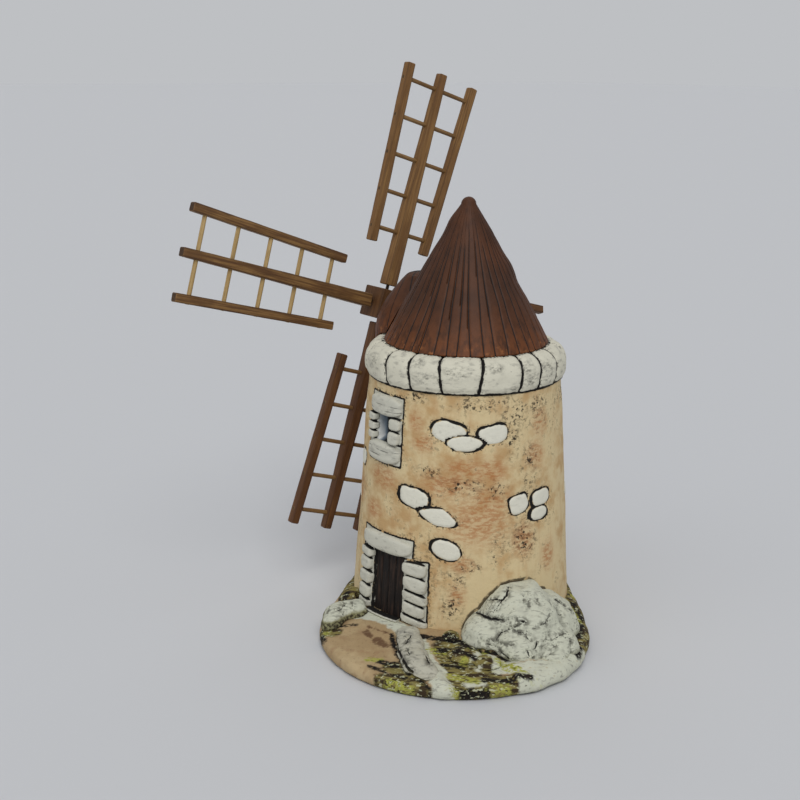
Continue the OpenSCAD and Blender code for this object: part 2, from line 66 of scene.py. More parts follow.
def ring_size(node):
    """Outer radius at the foot and at the top, lowest and highest z of a turned CAD node."""
    x, y, z = mesh_arrays(frame["nodes"][node].data)[0].T
    radius, low, high, close = np.hypot(x, y), z.min(), z.max(), 0.1 * MM
    return radius[z < low + close].max(), radius[z > high - close].max(), low, high


def node_span(node):
    """The two turns in degrees and the two heights that a CAD node lies between."""
    x, y, z = mesh_arrays(frame["nodes"][node].data)[0].T
    turn = np.degrees(np.arctan2(y, x))
    return turn.min(), turn.max(), z.min(), z.max()


WALL_FOOT_RADIUS, WALL_TOP_RADIUS, WALL_LOW, WALL_HIGH = ring_size("tower_wall")
COLLAR_LOW, COLLAR_HIGH = (corner.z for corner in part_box("collar_ring"))
COLLAR_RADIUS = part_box("collar_ring")[1].x
ROOF_RADIUS, _, ROOF_LOW, ROOF_HIGH = ring_size("roof_cone")
HOOD_LOW, HOOD_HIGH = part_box("roof_hood")
DOOR_LEAF = node_span("door_leaf")
NICHE = (node_span("window_jamb_left")[1], node_span("window_jamb_right")[0],
         node_span("window_sill")[3], node_span("window_lintel")[2])
HUB = Vector(frame["joints"][0]["pos_m"])

# Random draws and noise

rng = np.random.default_rng(41)


def lattice(x, y, z, seed):
    """Repeatable random numbers from 0 to 1 at whole-number points."""
    mixed = (x * 374761393 + y * 668265263 + z * 1440662683 + seed * 974634541).astype(np.uint32)
    mixed = (mixed ^ (mixed >> np.uint32(13))) * np.uint32(1274126177)
    return ((mixed ^ (mixed >> np.uint32(16))) & np.uint32(0xFFFF)) / 0xFFFF


def noise(points, size, seed, octaves=3):
    """Smooth noise from -1 to 1, at its broadest about size mm across."""
    total, scaled = np.zeros(points.shape[:-1]), points / (size * MM)
    for octave in range(octaves):
        cell = np.floor(scaled).astype(np.int64)
        share = ramp(0, 1, scaled - cell)
        for corner in np.ndindex(2, 2, 2):
            near = np.where(np.array(corner, bool), share, 1 - share).prod(axis=-1)
            value = 2 * lattice(*np.moveaxis(cell + corner, -1, 0), seed + octave) - 1
            total += 0.5 ** octave * near * value
        scaled = scaled * 2 + 31.7
    return total / (2 - 0.5 ** (octaves - 1))


def lumps(points, layers, seed=0):
    """Unevenness in mm, from layers of noise that each have a size and a depth in mm."""
    return sum(depth * noise(points, size, seed + i) for i, (size, depth) in enumerate(layers))


def ramp(low, high, value):
    """0 at low, 1 at high, smooth between; low may be above high."""
    share = np.clip((value - low) / (high - low), 0, 1)
    return share * share * (3 - 2 * share)


# Meshes


def placed(name, data):
    """A new object, put in the scene."""
    made = bpy.data.objects.new(name, data)
    bpy.context.scene.collection.objects.link(made)
    return made


def new_piece(name, points, faces):
    """A mesh object from points and faces, shaded smooth."""
    mesh = bpy.data.meshes.new(name)
    mesh.from_pydata(np.reshape(points, (-1, 3)), [], faces, shade_flat=False)
    mesh.validate()
    return placed(name, mesh)


def moved(piece, points):
    """Moves a piece's vertices; returns their new points and normals."""
    piece.data.vertices.foreach_set("co", points.ravel())
    piece.data.update()
    return mesh_arrays(piece.data)


def mark(piece, **marks):
    """Stores numbers or vectors for each vertex, for the paint to read."""
    for name, values in marks.items():
        values = np.asarray(values, np.float32).ravel()
        vectors = len(values) > len(piece.data.vertices)
        attribute = piece.data.attributes.new(name, "FLOAT_VECTOR" if vectors else "FLOAT", "POINT")
        attribute.data.foreach_set("vector" if vectors else "value", values)


def grid_faces(rows, columns, loop_rows=False, loop_columns=True):
    """Faces of a grid whose rows and columns may close into rings."""
    index = np.arange(rows * columns).reshape(rows, columns)
    index = np.pad(index, ((0, int(loop_rows)), (0, int(loop_columns))), "wrap")
    corners = index[:-1, :-1], index[:-1, 1:], index[1:, 1:], index[1:, :-1]
    return np.stack(corners, axis=-1).reshape(-1, 4)


def ring_points(turn, radius, z):
    """Points at turns in degrees, radii and heights."""
    x, y = radius * np.cos(np.radians(turn)), radius * np.sin(np.radians(turn))
    return np.stack(np.broadcast_arrays(x, y, z), axis=-1)


def joined(parts):
    """Several parts as one; a part is its faces, its points and any marks on them."""
    starts = np.cumsum([0] + [len(points) for _, points, *_ in parts])
    faces = [[start + i for i in face] for start, part in zip(starts, parts) for face in part[0]]
    return faces, *(np.concatenate(values) for values in list(zip(*parts))[1:])


def dress(piece, slot, material, node, body="mill", **marks):
    """Marks and paints a piece, lets it ride on its body and stand for a CAD node."""
    mark(piece, **marks)
    piece.data.materials.append(material)
    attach(piece, body)
    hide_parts(node)


def hollowness(mesh, points, normals, passes=6):
    """How far in mm each vertex lies below those around it."""
    edges = np.array([edge.vertices[:] for edge in mesh.edges])
    here, there = np.r_[edges, edges[:, ::-1]].T
    count = np.maximum(np.bincount(here, minlength=len(points)), 1)[:, None]
    smoothed = points
    for _ in range(passes):
        total = np.zeros_like(points)
        np.add.at(total, here, smoothed[there])
        smoothed = total / count
    return ((smoothed - points) * normals).sum(axis=1) / MM


def pressed_clay(name, node, voxel, rounding, layers, flat_below=-FAR):
    """A CAD node remeshed, rounded and made uneven above a height in mm: piece, points and normals."""
    rough = placed(name, frame["nodes"][node].data.copy())
    remesh = rough.modifiers.new("remesh", "REMESH")
    remesh.mode = "VOXEL"
    remesh.voxel_size = voxel * MM
    soften = rough.modifiers.new("soften", "SMOOTH")
    soften.factor = 0.5
    soften.iterations = rounding
    graph = bpy.context.evaluated_depsgraph_get()
    mesh = bpy.data.meshes.new_from_object(rough.evaluated_get(graph))
    bpy.data.objects.remove(rough)
    mesh.materials.clear()
    mesh.shade_smooth()
    piece = placed(name, mesh)
    points, normals = mesh_arrays(mesh)
    push = lumps(points, layers) * ramp(flat_below, flat_below + 2, points[:, 2] / MM) * MM
    points, normals = moved(piece, points + normals * push[:, None])
    mark(piece, hollow=hollowness(mesh, points, normals))
    return piece, points, normals


# Strokes


def point_tree(points):
    """A search tree over points."""
    tree = KDTree(len(points))
    for i, point in enumerate(points):
        tree.insert(point, i)
    tree.balance()
    return tree


def stroke_distance(places, strokes):
    """Distance of places from the nearest stroke, in mm; a stroke is its half width and then its points."""
    nearest = np.full(len(places), FAR)
    for half_width, *corners in strokes:
        corners = np.array(corners, float)
        for start, end in zip(corners, corners[1:] if len(corners) > 1 else corners):
            along = end - start
            share = np.clip((places - start) @ along / max(along @ along, 0.01), 0, 1)
            away = np.linalg.norm(places - start - share[:, None] * along, axis=1)
            nearest = np.minimum(nearest, away - half_width)
    return nearest


def laid_on(points, strokes, steps=6):
    """Strokes in mm, divided and laid on the nearest points of a surface."""
    tree, laid = point_tree(points), []
    for half_width, *corners in strokes:
        share = np.arange((len(corners) - 1) * steps + 1) / steps
        line = np.column_stack([np.interp(share, range(len(corners)), axis) for axis in zip(*corners)])
        laid.append((half_width, *(tree.find(place * MM)[0] / MM for place in line)))
    return laid


# Paint


def srgb(code):
    """A linear colour from a hex code."""
    parts = [int(code[i:i + 2], 16) / 255 for i in (1, 3, 5)]
    return tuple(((p + 0.055) / 1.055) ** 2.4 if p > 0.04045 else p / 12.92 for p in parts) + (1.0,)


class Paint:
    """A painted surface, put together from shader nodes, coat over coat."""

    def __init__(self, name, roughness, colour):
        self.material = bpy.data.materials.new(name)
        self.material.use_nodes = True
        self.tree = self.material.node_tree
        self.shader = self.tree.nodes["Principled BSDF"]
        self.feed(self.shader, {"Roughness": roughness, "Specular IOR Level": 0.3})
        self.place = self.add("TexCoord", {}, "Object")
        self.colour = colour

    def feed(self, node, inputs):
        """Links a node's inputs, or sets them to plain values or to colours by hex code."""
        for key, value in inputs.items():
            if isinstance(value, bpy.types.NodeSocket):
                self.tree.links.new(value, node.inputs[key])
            else:
                node.inputs[key].default_value = srgb(value) if isinstance(value, str) else value

    def add(self, kind, inputs, output=0, **settings):
        """One output of a new node."""
        made = self.tree.nodes.new("ShaderNode" + kind)
        for key, value in settings.items():
            setattr(made, key, value)
        self.feed(made, inputs)
        return made.outputs[output]

    def mark(self, name, output="Fac"):
        return self.add("Attribute", {}, output, attribute_name=name)

    def mottle(self, size, detail=3, squeeze=1.0, roughness=0.55, vector=None):
        """Noise about size mm across; a squeeze below 1 draws it out in height."""
        place = self.add("VectorMath", {0: vector or self.place, 1: (1, 1, squeeze)}, operation="MULTIPLY")
        inputs = {"Vector": place, "Scale": 1 / (size * MM), "Detail": detail, "Roughness": roughness}
        return self.add("TexNoise", inputs, "Fac")

    def brushed(self, size, degrees, stretch):
        """Noise drawn out along a direction on the ground."""
        inputs = {"Vector": self.place, "Rotation": (0, 0, math.radians(degrees)), "Scale": (stretch, 1, 1)}
        return self.mottle(size, 4, vector=self.add("Mapping", inputs, vector_type="TEXTURE"))

    def maths(self, operation, total, *values):
        """One sum, such as MULTIPLY, over all the values in turn."""
        for value in values:
            total = self.add("Math", {0: total, 1: value}, operation=operation)
        return total

    def times(self, *values):
        return self.maths("MULTIPLY", *values)

    def either(self, *values):
        return self.maths("MAXIMUM", *values)

    def wobble(self, size, reach, detail=3):
        """Noise round zero that reaches about this far either way."""
        return self.times(self.maths("SUBTRACT", self.mottle(size, detail), 0.5), 2 * reach)

    def ragged(self, name, *wobbles):
        """A distance mark with noise added to it."""
        return self.maths("ADD", self.mark(name), *wobbles)

    def step(self, value, low, high):
        """0 at low, 1 at high, smooth between; low may be above high."""
        inputs = {"Value": value, "From Min": low, "From Max": high}
        return self.add("MapRange", inputs, "Result", interpolation_type="SMOOTHSTEP")

    def axis(self, vector, name):
        return self.add("SeparateXYZ", {0: vector}, name)

    def blend(self, factor, under, over):
        return self.add("Mix", {"Factor": factor, "A": under, "B": over}, "Result", data_type="RGBA")

    def coat(self, over, *factors):
        """Lays a colour over the coats so far, by the product of the factors."""
        self.colour = self.blend(self.times(*factors), self.colour, over)

    def done(self, height=None, depth=0.2):
        """The finished material, with a height as fine unevenness of a depth in mm."""
        self.feed(self.shader, {"Base Color": self.colour})
        if height is not None:
            bump = self.add("Bump", {"Distance": depth * MM, "Height": height})
            self.feed(self.shader, {"Normal": bump})
        return self.material


# The stones round the door and the window take a greyer white, as painted shade
WHITE, COLLAR_WHITE, SHADED_STONE_WHITE, CHALK = "#e2dfcf", "#d8d4c1", "#cbc9ba", "#cacbb8"
KERB_GREY, GREY, INK = "#bcb9a8", "#85827a", "#12100d"
BEIGE, CREAM, ORANGE, BROWN = "#c2a070", "#dac599", "#ad6c3a", "#573a26"
# Direction in degrees of most brush strokes on the ground and the rocks
BRUSH_TURN = 142


def white_clay(paint, base, brushing=1.0):
    """A pale colour with grey dry-brushing over it."""
    brushed = paint.mottle(4, 4, 2.4)
    colour = paint.blend(paint.times(paint.step(brushed, 0.5, 0.72), 0.4 * brushing), base, GREY)
    flecks = paint.times(paint.step(paint.mottle(1.3, 2), 0.6, 0.7), paint.step(brushed, 0.48, 0.62))
    return paint.blend(paint.times(flecks, 0.45 * brushing), colour, GREY)


def wall_paint():
    paint = Paint("wall_paint", 0.85, BEIGE)
    coat, mottle, step, times, ragged = paint.coat, paint.mottle, paint.step, paint.times, paint.ragged
    middle, fine, rubbed = mottle(6, 5), mottle(1), mottle(3.4, 6, 2.6, 0.72)
    wobble = paint.wobble(2.6, 0.5)
    coat(CREAM, step(paint.maths("ADD", mottle(30), middle), 0.74, 1.12))
    coat(ORANGE, step(mottle(3, 4, 0.1), 0.5, 0.7), 0.14)
    smear = paint.maths("ADD", times(step(rubbed, 0.44, 0.58), 0.5), 0.22)
    coat(ORANGE, paint.mark("orange"), smear)
    dirt = times(paint.mark("speckle"), step(middle, 0.3, 0.48))
    coat(BROWN, dirt, step(rubbed, 0.48, 0.62), 0.4)
    stray = times(step(mottle(12), 0.48, 0.64), 0.4)
    flakes = step(mottle(1.7, 5, roughness=0.72), 0.53, 0.585)
    specks = times(paint.either(dirt, stray), flakes, 0.95)
    ink = ragged("ink", wobble)
    spatter = times(step(ink, 1.1, 0.1), step(fine, 0.55, 0.64))
    rock = times(step(ragged("rock", wobble), 1.6, 1), step(middle, 0.36, 0.48), 0.85)
    # Painted shadow: a dark band on the wall just under the collar's edge
    collar_shadow = step(ragged("below_collar", wobble), 0.7, 0.3)
    coat(INK, paint.either(specks, spatter, rock, collar_shadow))
    coat(white_clay(paint, WHITE, 0.35), step(ragged("white", wobble), 0.12, -0.12))
    coat(INK, step(ink, 0.12, -0.12))
    edge = ragged("surround", wobble)
    line = times(step(edge, 0.95, 0.6), step(mottle(4, 2), 0.3, 0.42))
    spatter = times(step(edge, 2.4, 0.6), step(fine, 0.53, 0.63))
    coat(INK, paint.either(line, spatter))
    # Inside the frames the wall takes the stones' greyer white, as painted shade
    coat(white_clay(paint, SHADED_STONE_WHITE), step(edge, 0, -0.2))
    # Blue-grey niche paint; painted light whitens its left, painted shade blackens its right and top
    depth = paint.mark("niche_depth")
    niche_shading = paint.blend(step(depth, -1.1, -0.6), "#d6d7d3", "#6f7c87")
    niche_shading = paint.blend(step(depth, -0.75, -0.1), niche_shading, "#101214")
    coat(niche_shading, step(paint.mark("niche"), 0.4, -0.2))
    return paint.done(mottle(1.1, 4))


def collar_paint():
    paint = Paint("collar_paint", 0.8, COLLAR_WHITE)
    step, times, scuff = paint.step, paint.times, paint.mark("scuff")
    fine, rubbed, wobble = paint.mottle(1.2), paint.mottle(2.6, 5, 1.8, 0.65), paint.wobble(3.6, 0.9, 4)
    joint = paint.ragged("joint", wobble)
    paint.colour = white_clay(paint, COLLAR_WHITE, 1.2)
    paint.coat(INK, paint.either(
        step(joint, 0.8, 0.5),
        times(step(joint, 2.0, 0.5), step(fine, 0.54, 0.64), 0.8),
        step(paint.ragged("foot", wobble), 0.8, 0.4),
        times(step(paint.ragged("below_roof", wobble), 1.0, 0.6), step(fine, 0.45, 0.55)),
        times(scuff, step(rubbed, 0.42, 0.66), 0.6),
        times(scuff, step(rubbed, 0.54, 0.62), step(fine, 0.46, 0.56), 0.8),
    ))
    return paint.done(fine)


def roof_paint():
    paint = Paint("roof_paint", 0.58, "#432613")
    coat, mottle, step, above_edge = paint.coat, paint.mottle, paint.step, paint.mark("above_edge")
    middle, brushed = mottle(3, 4), mottle(2.2, 3, 0.12)
    coat("#543019", step(mottle(18), 0.36, 0.64))
    coat("#321c11", step(brushed, 0.5, 0.72), 0.4)
    coat("#77431f", step(above_edge, 20, 0), step(brushed, 0.34, 0.6), 0.7)
    coat("#9c6236", step(above_edge, 7, 0.5), step(middle, 0.56, 0.68), 0.7)
    coat("#120c0a", step(paint.ragged("groove", paint.wobble(3, 0.08)), 0.32, 0.16))
    return paint.done(middle)


def stone_paint():
    paint = Paint("stone_paint", 0.8, SHADED_STONE_WHITE)
    step, fine, wobble = paint.step, paint.mottle(1.2), paint.wobble(2.2, 0.14)
    edge = step(paint.ragged("rim", wobble), 0.5, 0.25)
    worn = paint.times(step(paint.mark("rim"), 1.2, 0.3), step(fine, 0.56, 0.66), 0.5)
    patchy = step(paint.mottle(4, 2), 0.34, 0.5)
    scored = paint.times(step(paint.ragged("scored", wobble), 0.34, 0.12), patchy, 0.65)
    # Greyer white, as painted shade
    paint.colour = white_clay(paint, SHADED_STONE_WHITE)
    paint.coat(INK, paint.either(edge, worn, scored))
    return paint.done(fine)


def rock_paint(name, base, moss, brushing):
    """Pale rock with grey brushing and ink in its cracks; moss from 0 to 1 grows at its foot."""
    paint = Paint(name, 0.85, base)
    coat, mottle, step, wobble, ragged = paint.coat, paint.mottle, paint.step, paint.wobble, paint.ragged
    broad, fine = mottle(8, 4), mottle(1.2)
    paint.colour = white_clay(paint, base, brushing)
    coat("#77756a", step(paint.brushed(1.3, BRUSH_TURN, 5), 0.54, 0.66), step(broad, 0.42, 0.56), 0.6)
    hairs = step(paint.brushed(0.8, BRUSH_TURN + 18, 7), 0.57, 0.64)
    coat("#5d5b51", hairs, step(broad, 0.5, 0.4), 0.55)
    # Painted shade in the hollows
    coat("#5a584f", step(ragged("hollow", wobble(1.5, 0.05)), 0.04, 0.2), 0.4)
    crack = ragged("crack", wobble(1.2, 0.35))
    # Painted shade beside the cracks and creases, in patches
    coat("#58564c", step(crack, 2.6, 0), step(mottle(1.8, 4), 0.45, 0.58), 0.85)
    speckle = paint.times(step(broad, 0.56, 0.66), step(fine, 0.57, 0.65), 0.8)
    line = paint.times(step(crack, 0.16, -0.1), step(broad, 0.36, 0.5))
    coat(INK, paint.either(speckle, line))
    foot = ragged("foot", wobble(4, 1.6))
    coat("#75703c", step(foot, 1.2, 0), 0.9 * moss)
    coat("#2a2118", step(foot, 0.4, -0.4), step(fine, 0.4, 0.55), moss)
    return paint.done(fine)


# Dabs of paint on the ground: name, size in mm, share of noise left bare, and two shades
DABS = (
    ("white", 1.4, 0.24, CHALK, "#a19f92"),
    ("rust", 2.2, 0.3, "#6b5038", "#80664a"),
    ("lime", 1.1, 0.4, "#a9a94e", "#66662f"),
    ("dark", 1.2, 0.3, "#110d09", "#302217"),
)


def ground_paint():
    paint = Paint("ground_paint", 0.9, "#a88f6a")
    coat, mottle, step, brushed = paint.coat, paint.mottle, paint.step, paint.brushed
    middle, fine = mottle(4, 4), mottle(1.2)
    wobbles = paint.wobble(4.5, 1.6, 4), paint.wobble(1.3, 1)
    coat("#bca680", step(mottle(14), 0.36, 0.64))
    coat("#977656", step(middle, 0.5, 0.7), 0.45)
    coat(BROWN, step(fine, 0.6, 0.7), 0.35)
    earth = paint.blend(step(brushed(2.4, BRUSH_TURN, 3), 0.42, 0.56), "#392c1b", "#837845")
    coat(earth, step(paint.ragged("earth", *wobbles), 1, -1))
    for name, size, bare, shade, other in DABS:
        brush = brushed(size, BRUSH_TURN, 2.4)
        tone = paint.blend(step(brush, 0.54, 0.68), shade, other)
        coat(tone, step(paint.ragged(name, *wobbles), 0.7, -0.7), step(brush, bare, bare + 0.14))
    light = step(brushed(1.3, BRUSH_TURN, 1.6), 0.57, 0.63)
    coat("#c3c4a2", step(paint.mark("earth"), 1, -1), light, 0.8)
    low = step(paint.axis(paint.place, "Z"), 1.3 * MM, 0.3 * MM)
    coat("#2a2018", low, step(middle, 0.36, 0.5), 0.8)
    return paint.done(fine)


def wood_paint(name, pale, deep):
    paint = Paint(name, 0.6, deep)
    paint.place = paint.mark("grain", "Vector")
    coat, mottle, step = paint.coat, paint.mottle, paint.step
    pores = mottle(0.4, 2, 0.05)
    coat(pale, step(mottle(0.9, 3, 0.03), 0.34, 0.66), 0.8)
    coat(deep, step(mottle(9, 5, 0.5), 0.44, 0.62), 0.65)
    coat("#2a1a0e", step(pores, 0.56, 0.7), 0.35)
    section = paint.mark("section", "Vector")
    corner = paint.maths("MINIMUM", *(paint.maths("ABSOLUTE", paint.axis(section, i), 0) for i in "XY"))
    coat("#2b1a0f", step(corner, 0.55, 0.95), 0.35)
    coat("#2b1d12", paint.mark("end"), 0.7)
    return paint.done(pores, 0.08)


def door_paint():
    paint = Paint("door_paint", 0.7, "#140f0d")
    streaks = paint.mottle(1, 3, 0.08)
    paint.coat("#36261d", paint.step(streaks, 0.42, 0.7))
    # Painted shade in the leaf's hollows and grooves
    paint.coat("#0b0908", paint.step(paint.mark("hollow"), 0, 0.1))
    return paint.done(streaks)


def iron_paint():
    paint = Paint("iron_paint", 0.55, "#3c3733")
    paint.feed(paint.shader, {"Metallic": 0.7})
    paint.coat("#54402f", paint.step(paint.mottle(2), 0.45, 0.65))
    return paint.done()


# Tower wall

# Size and depth of the wall's unevenness in mm
WALL_LUMPS = [(30, 0.7), (6, 0.2)]
WALL_THICKNESS = 6 * MM
# How far the wall reaches into the ground and into the collar
WALL_SINK, WALL_RISE = 1 * MM, 0.2 * MM
# Depths of the sunk door and of the niche, and how far the sunk part goes below the leaf
RECESS_DEPTH, NICHE_DEPTH, RECESS_DROP = 2.9 * MM, 3.4 * MM, 2.5 * MM
# Stones painted on the wall: turn in degrees, height, half width and half height in mm, how square they are
# (2 is an oval, less is a lozenge), and tilt in degrees
PAINTED_STONES = [
    (41, 97, 8.2, 5.2, 2.4, -10), (65, 96, 7.2, 4.7, 2.6, 8), (50, 92, 8.8, 3.9, 2, -2),
    (22, 66.5, 8.6, 5, 3, -10), (36, 59.5, 10.2, 4.1, 1.8, -13), (41, 45.3, 7.4, 4.9, 2.4, -16),
    (81, 64.5, 5.4, 4.5, 4, 12), (97, 65, 6.9, 4.2, 2.8, 4), (95, 58, 6.6, 3.6, 2.6, -4),
    (-29, 75, 5.5, 4.4, 2.4, 6), (140, 59, 6, 3.6, 2.8, -10), (150, 84, 7, 4, 2.4, 8),
    (160, 77, 7.5, 3.6, 2, -6), (175, 82, 6, 4, 2.6, 14), (200, 46, 7.2, 4, 2.2, -10),
    (211, 52, 6.4, 3.6, 3, 6), (238, 66, 7, 4.2, 2.2, -18), (305, 62, 7.2, 4, 2, 16),
    (318, 56, 6.6, 3.6, 2.8, 0), (290, 36, 7.4, 4.2, 2.4, -14),
]
# Where orange was rubbed on the wall, and where it is speckled: turn, height, half width, half height
ORANGE_SPOTS = [
    (22, 100, 5, 8), (27, 91, 8, 6), (97, 98, 7, 9), (93, 85, 8, 9), (-8, 56, 10, 7), (50, 81, 14, 7),
    (64, 80, 12, 10), (50, 39, 9, 6), (48, 25, 6, 9), (84, 48, 9, 11), (60, 58, 14, 7), (102, 38, 7, 11),
    (0, 72, 14, 9), (42, 74, 18, 10), (64, 66, 16, 12), (58, 58, 24, 17), (150, 100, 10, 8),
    (185, 60, 14, 10), (215, 100, 10, 8), (240, 40, 12, 9), (275, 80, 12, 9), (330, 60, 9, 10),
]
SPECKLE_SPOTS = [
    (60, 109, 20, 6), (20, 110, 10, 4), (80, 104, 12, 9), (77, 93, 5, 14), (30, 79, 10, 4), (50, 74, 14, 5),
    (64, 72, 12, 7), (54, 38, 9, 4), (46, 32, 8, 6), (45, 20, 7, 9), (70, 44, 7, 12), (88, 80, 7, 14),
    (96, 106, 9, 7), (85, 48, 10, 14), (130, 106, 20, 7), (190, 104, 24, 8), (170, 40, 14, 12),
    (230, 80, 14, 12), (280, 50, 14, 14), (320, 108, 16, 6), (250, 20, 20, 8),
]
DOOR_FOOT, DOOR_HEAD = (z / MM for z in node_span("door_jamb_left")[2:])
NICHE_FOOT, NICHE_HEAD = (z / MM for z in NICHE[2:])
NICHE_SPLIT = NICHE_FOOT + 1.6 * (NICHE_HEAD - NICHE_FOOT) / 3
# Stones round the door and the window, by CAD node: name, heights of the joints of a pile in mm, lines
# scored from -1 at the foot to 1 at the top, how far in mm the joints drop to the right
FRAME_STONES = {
    "door_jamb_left": ("door_stones_left", [DOOR_FOOT, 14.3, 21, 27.5, 34, DOOR_HEAD]),
    "door_jamb_right": ("door_stones_right", [DOOR_FOOT, 14, 20, 25, 32, DOOR_HEAD], (), 1.5),
    "door_lintel": ("door_lintel_stone",),
    "window_jamb_left": ("window_stones_left", np.linspace(NICHE_FOOT, NICHE_HEAD, 4)),
    "window_jamb_right": ("window_stones_right", [NICHE_FOOT, NICHE_SPLIT, NICHE_HEAD]),
    "window_lintel": ("window_lintel_stone", (), (0.1, -0.45)),
    "window_sill": ("window_sill_stone", (), (0.35, -0.2)),
}


def wall_radius(z):
    """Radius of the wall's plain outside at a height."""
    return WALL_FOOT_RADIUS + (WALL_TOP_RADIUS - WALL_FOOT_RADIUS) * (z - WALL_LOW) / (WALL_HIGH - WALL_LOW)


def wrapped(turn):
    """An angle in degrees brought to the range from -180 to 180."""
    return (turn + 180) % 360 - 180


def on_wall(turn, z, at, height):
    """How far places on the wall lie beside and above a spot on it, in mm."""
    return np.radians(wrapped(turn - at)) * wall_radius(z) / MM, z / MM - height


def wall_spots(turn, z, spots):
    """1 in the middle of spots on the wall, fading to 0 at their edges."""
    total = np.zeros(turn.shape)
    for at, height, half_width, half_height in spots:
        across, up = on_wall(turn, z, at, height)
        total = np.maximum(total, ramp(1.0, 0.2, np.hypot(across / half_width, up / half_height)))
    return total


def oval(x, y, half_width, half_height, squareness):
    """Distance in mm from an oval, negative inside; a squareness above 2 makes it plump."""
    total = np.abs(x / half_width) ** squareness + np.abs(y / half_height) ** squareness
    return (total ** (1 / squareness) - 1) * half_height


def stone_fields(turn, z):
    """Distances in mm from the ink round the painted stones and from their white faces, negative inside."""
    flat = ring_points(turn, wall_radius(z), z)
    shaky, unsteady = (0.8 * noise(flat, 7, seed, 2) for seed in (5, 6))
    pressure = 0.72 + 0.65 * noise(flat, 6, 7, 2)
    outer, white = np.full(turn.shape, FAR), np.full(turn.shape, FAR)
    for at, height, *form, tilt in PAINTED_STONES:
        across, up = on_wall(turn, z, at, height)
        c, s = math.cos(math.radians(tilt)), math.sin(math.radians(tilt))
        x, y = across * c + up * s + shaky, up * c - across * s + shaky
        rim, face = oval(x, y, *form), oval(x - 0.2 + unsteady / 2, y + 0.2 + unsteady / 2, *form)
        white = np.where(rim < 0, face + pressure, white)
        outer = np.minimum(outer, rim)
    return np.maximum(outer, -white), white


def box_distance(turn, z, span):
    """Distance in mm from a stretch of the wall, negative inside; span is two turns and two heights."""
    aside = np.abs(wrapped(turn - np.mean(span[:2]))) - np.ptp(span[:2]) / 2
    across = np.radians(aside) * wall_radius(z) / MM
    up = (np.abs(z - np.mean(span[2:])) - np.ptp(span[2:]) / 2) / MM
    outside = np.hypot(np.maximum(across, 0), np.maximum(up, 0))
    return outside + np.minimum(np.maximum(across, up), 0)


def make_wall(rock_points):
    columns, rows, inner_rows = 500, 180, 4
    low, high = WALL_LOW - WALL_SINK, WALL_HIGH + WALL_RISE
    heights = np.r_[np.linspace(low, high, rows), np.linspace(high, low, inner_rows)]
    turn, z = np.meshgrid(np.linspace(0, 360, columns, endpoint=False), heights)
    ink, white = stone_fields(turn, z)
    relief = 0.3 * ramp(0.3, -0.9, white) - 0.35 * ramp(0.5, -0.3, ink)
    uneven = lumps(ring_points(turn, wall_radius(z), z), WALL_LUMPS, 1)
    leaf = box_distance(turn, z, (*DOOR_LEAF[:2], DOOR_LEAF[2] - RECESS_DROP, DOOR_LEAF[3]))
    niche = box_distance(turn, z, NICHE)
    radius = wall_radius(z) + (uneven + relief) * MM
    radius -= RECESS_DEPTH * ramp(0.4, -0.4, leaf) + NICHE_DEPTH * ramp(0.8, -1.8, niche)
    radius[rows:] = wall_radius(z[rows:]) - WALL_THICKNESS
    points = ring_points(turn, radius, z)
    piece = new_piece("wall", points, grid_faces(*z.shape, loop_rows=True))
    rocks, near_rocks = point_tree(rock_points), z < rock_points[:, 2].max() + FAR * MM
    from_rock = np.full(z.shape, FAR)
    from_rock[near_rocks] = [rocks.find(point)[2] / MM for point in points[near_rocks]]
    surround = [box_distance(turn, z, node_span(node)) for node in FRAME_STONES] + [leaf, niche]
    # Place across and up the niche, which sets its painted light and shade
    aside = wrapped(turn - np.mean(NICHE[:2])) / np.ptp(NICHE[:2]) * 2
    raised = (z - np.mean(NICHE[2:])) / np.ptp(NICHE[2:])
    orange, speckle = (wall_spots(turn, z, spots) for spots in (ORANGE_SPOTS, SPECKLE_SPOTS))
    dress(piece, "wall", wall_paint(), "tower_wall", ink=ink, white=white, orange=orange, speckle=speckle,
          niche=niche, niche_depth=aside + 0.5 * raised, surround=np.min(surround, axis=0), rock=from_rock,
          below_collar=(WALL_HIGH - z) / MM)


# Collar

COLLAR_LUMPS, COLLAR_COLUMNS = [(9, 0.5), (2.5, 0.18)], 720
COLLAR_WIDTH, COLLAR_TUCK, TUCK_HEIGHT = 4 * MM, 1 * MM, 3 * MM
# Turns of the joints between the collar's stones, which lean away from a middle turn, and its dark scuffs
COLLAR_JOINTS = [-48, -29, 0, 18, 37, 57, 81, 95, 112, 133, 152, 171, 192, 211, 232, 253, 272, 293]
MIDDLE_TURN, JOINT_LEAN = 49, 3.0
COLLAR_SCUFFS = [
    (22, 125, 4, 3), (28, 119, 8, 4), (45, 122, 9, 4), (66, 124, 6, 3), (86, 122, 6, 5), (88, 118, 6, 4),
    (102, 122, 6, 4), (103, 117, 6, 4), (77, 115, 3, 2), (-15, 120, 8, 5), (150, 121, 8, 4),
    (205, 120, 9, 5), (260, 122, 8, 4), (300, 119, 8, 5),
]


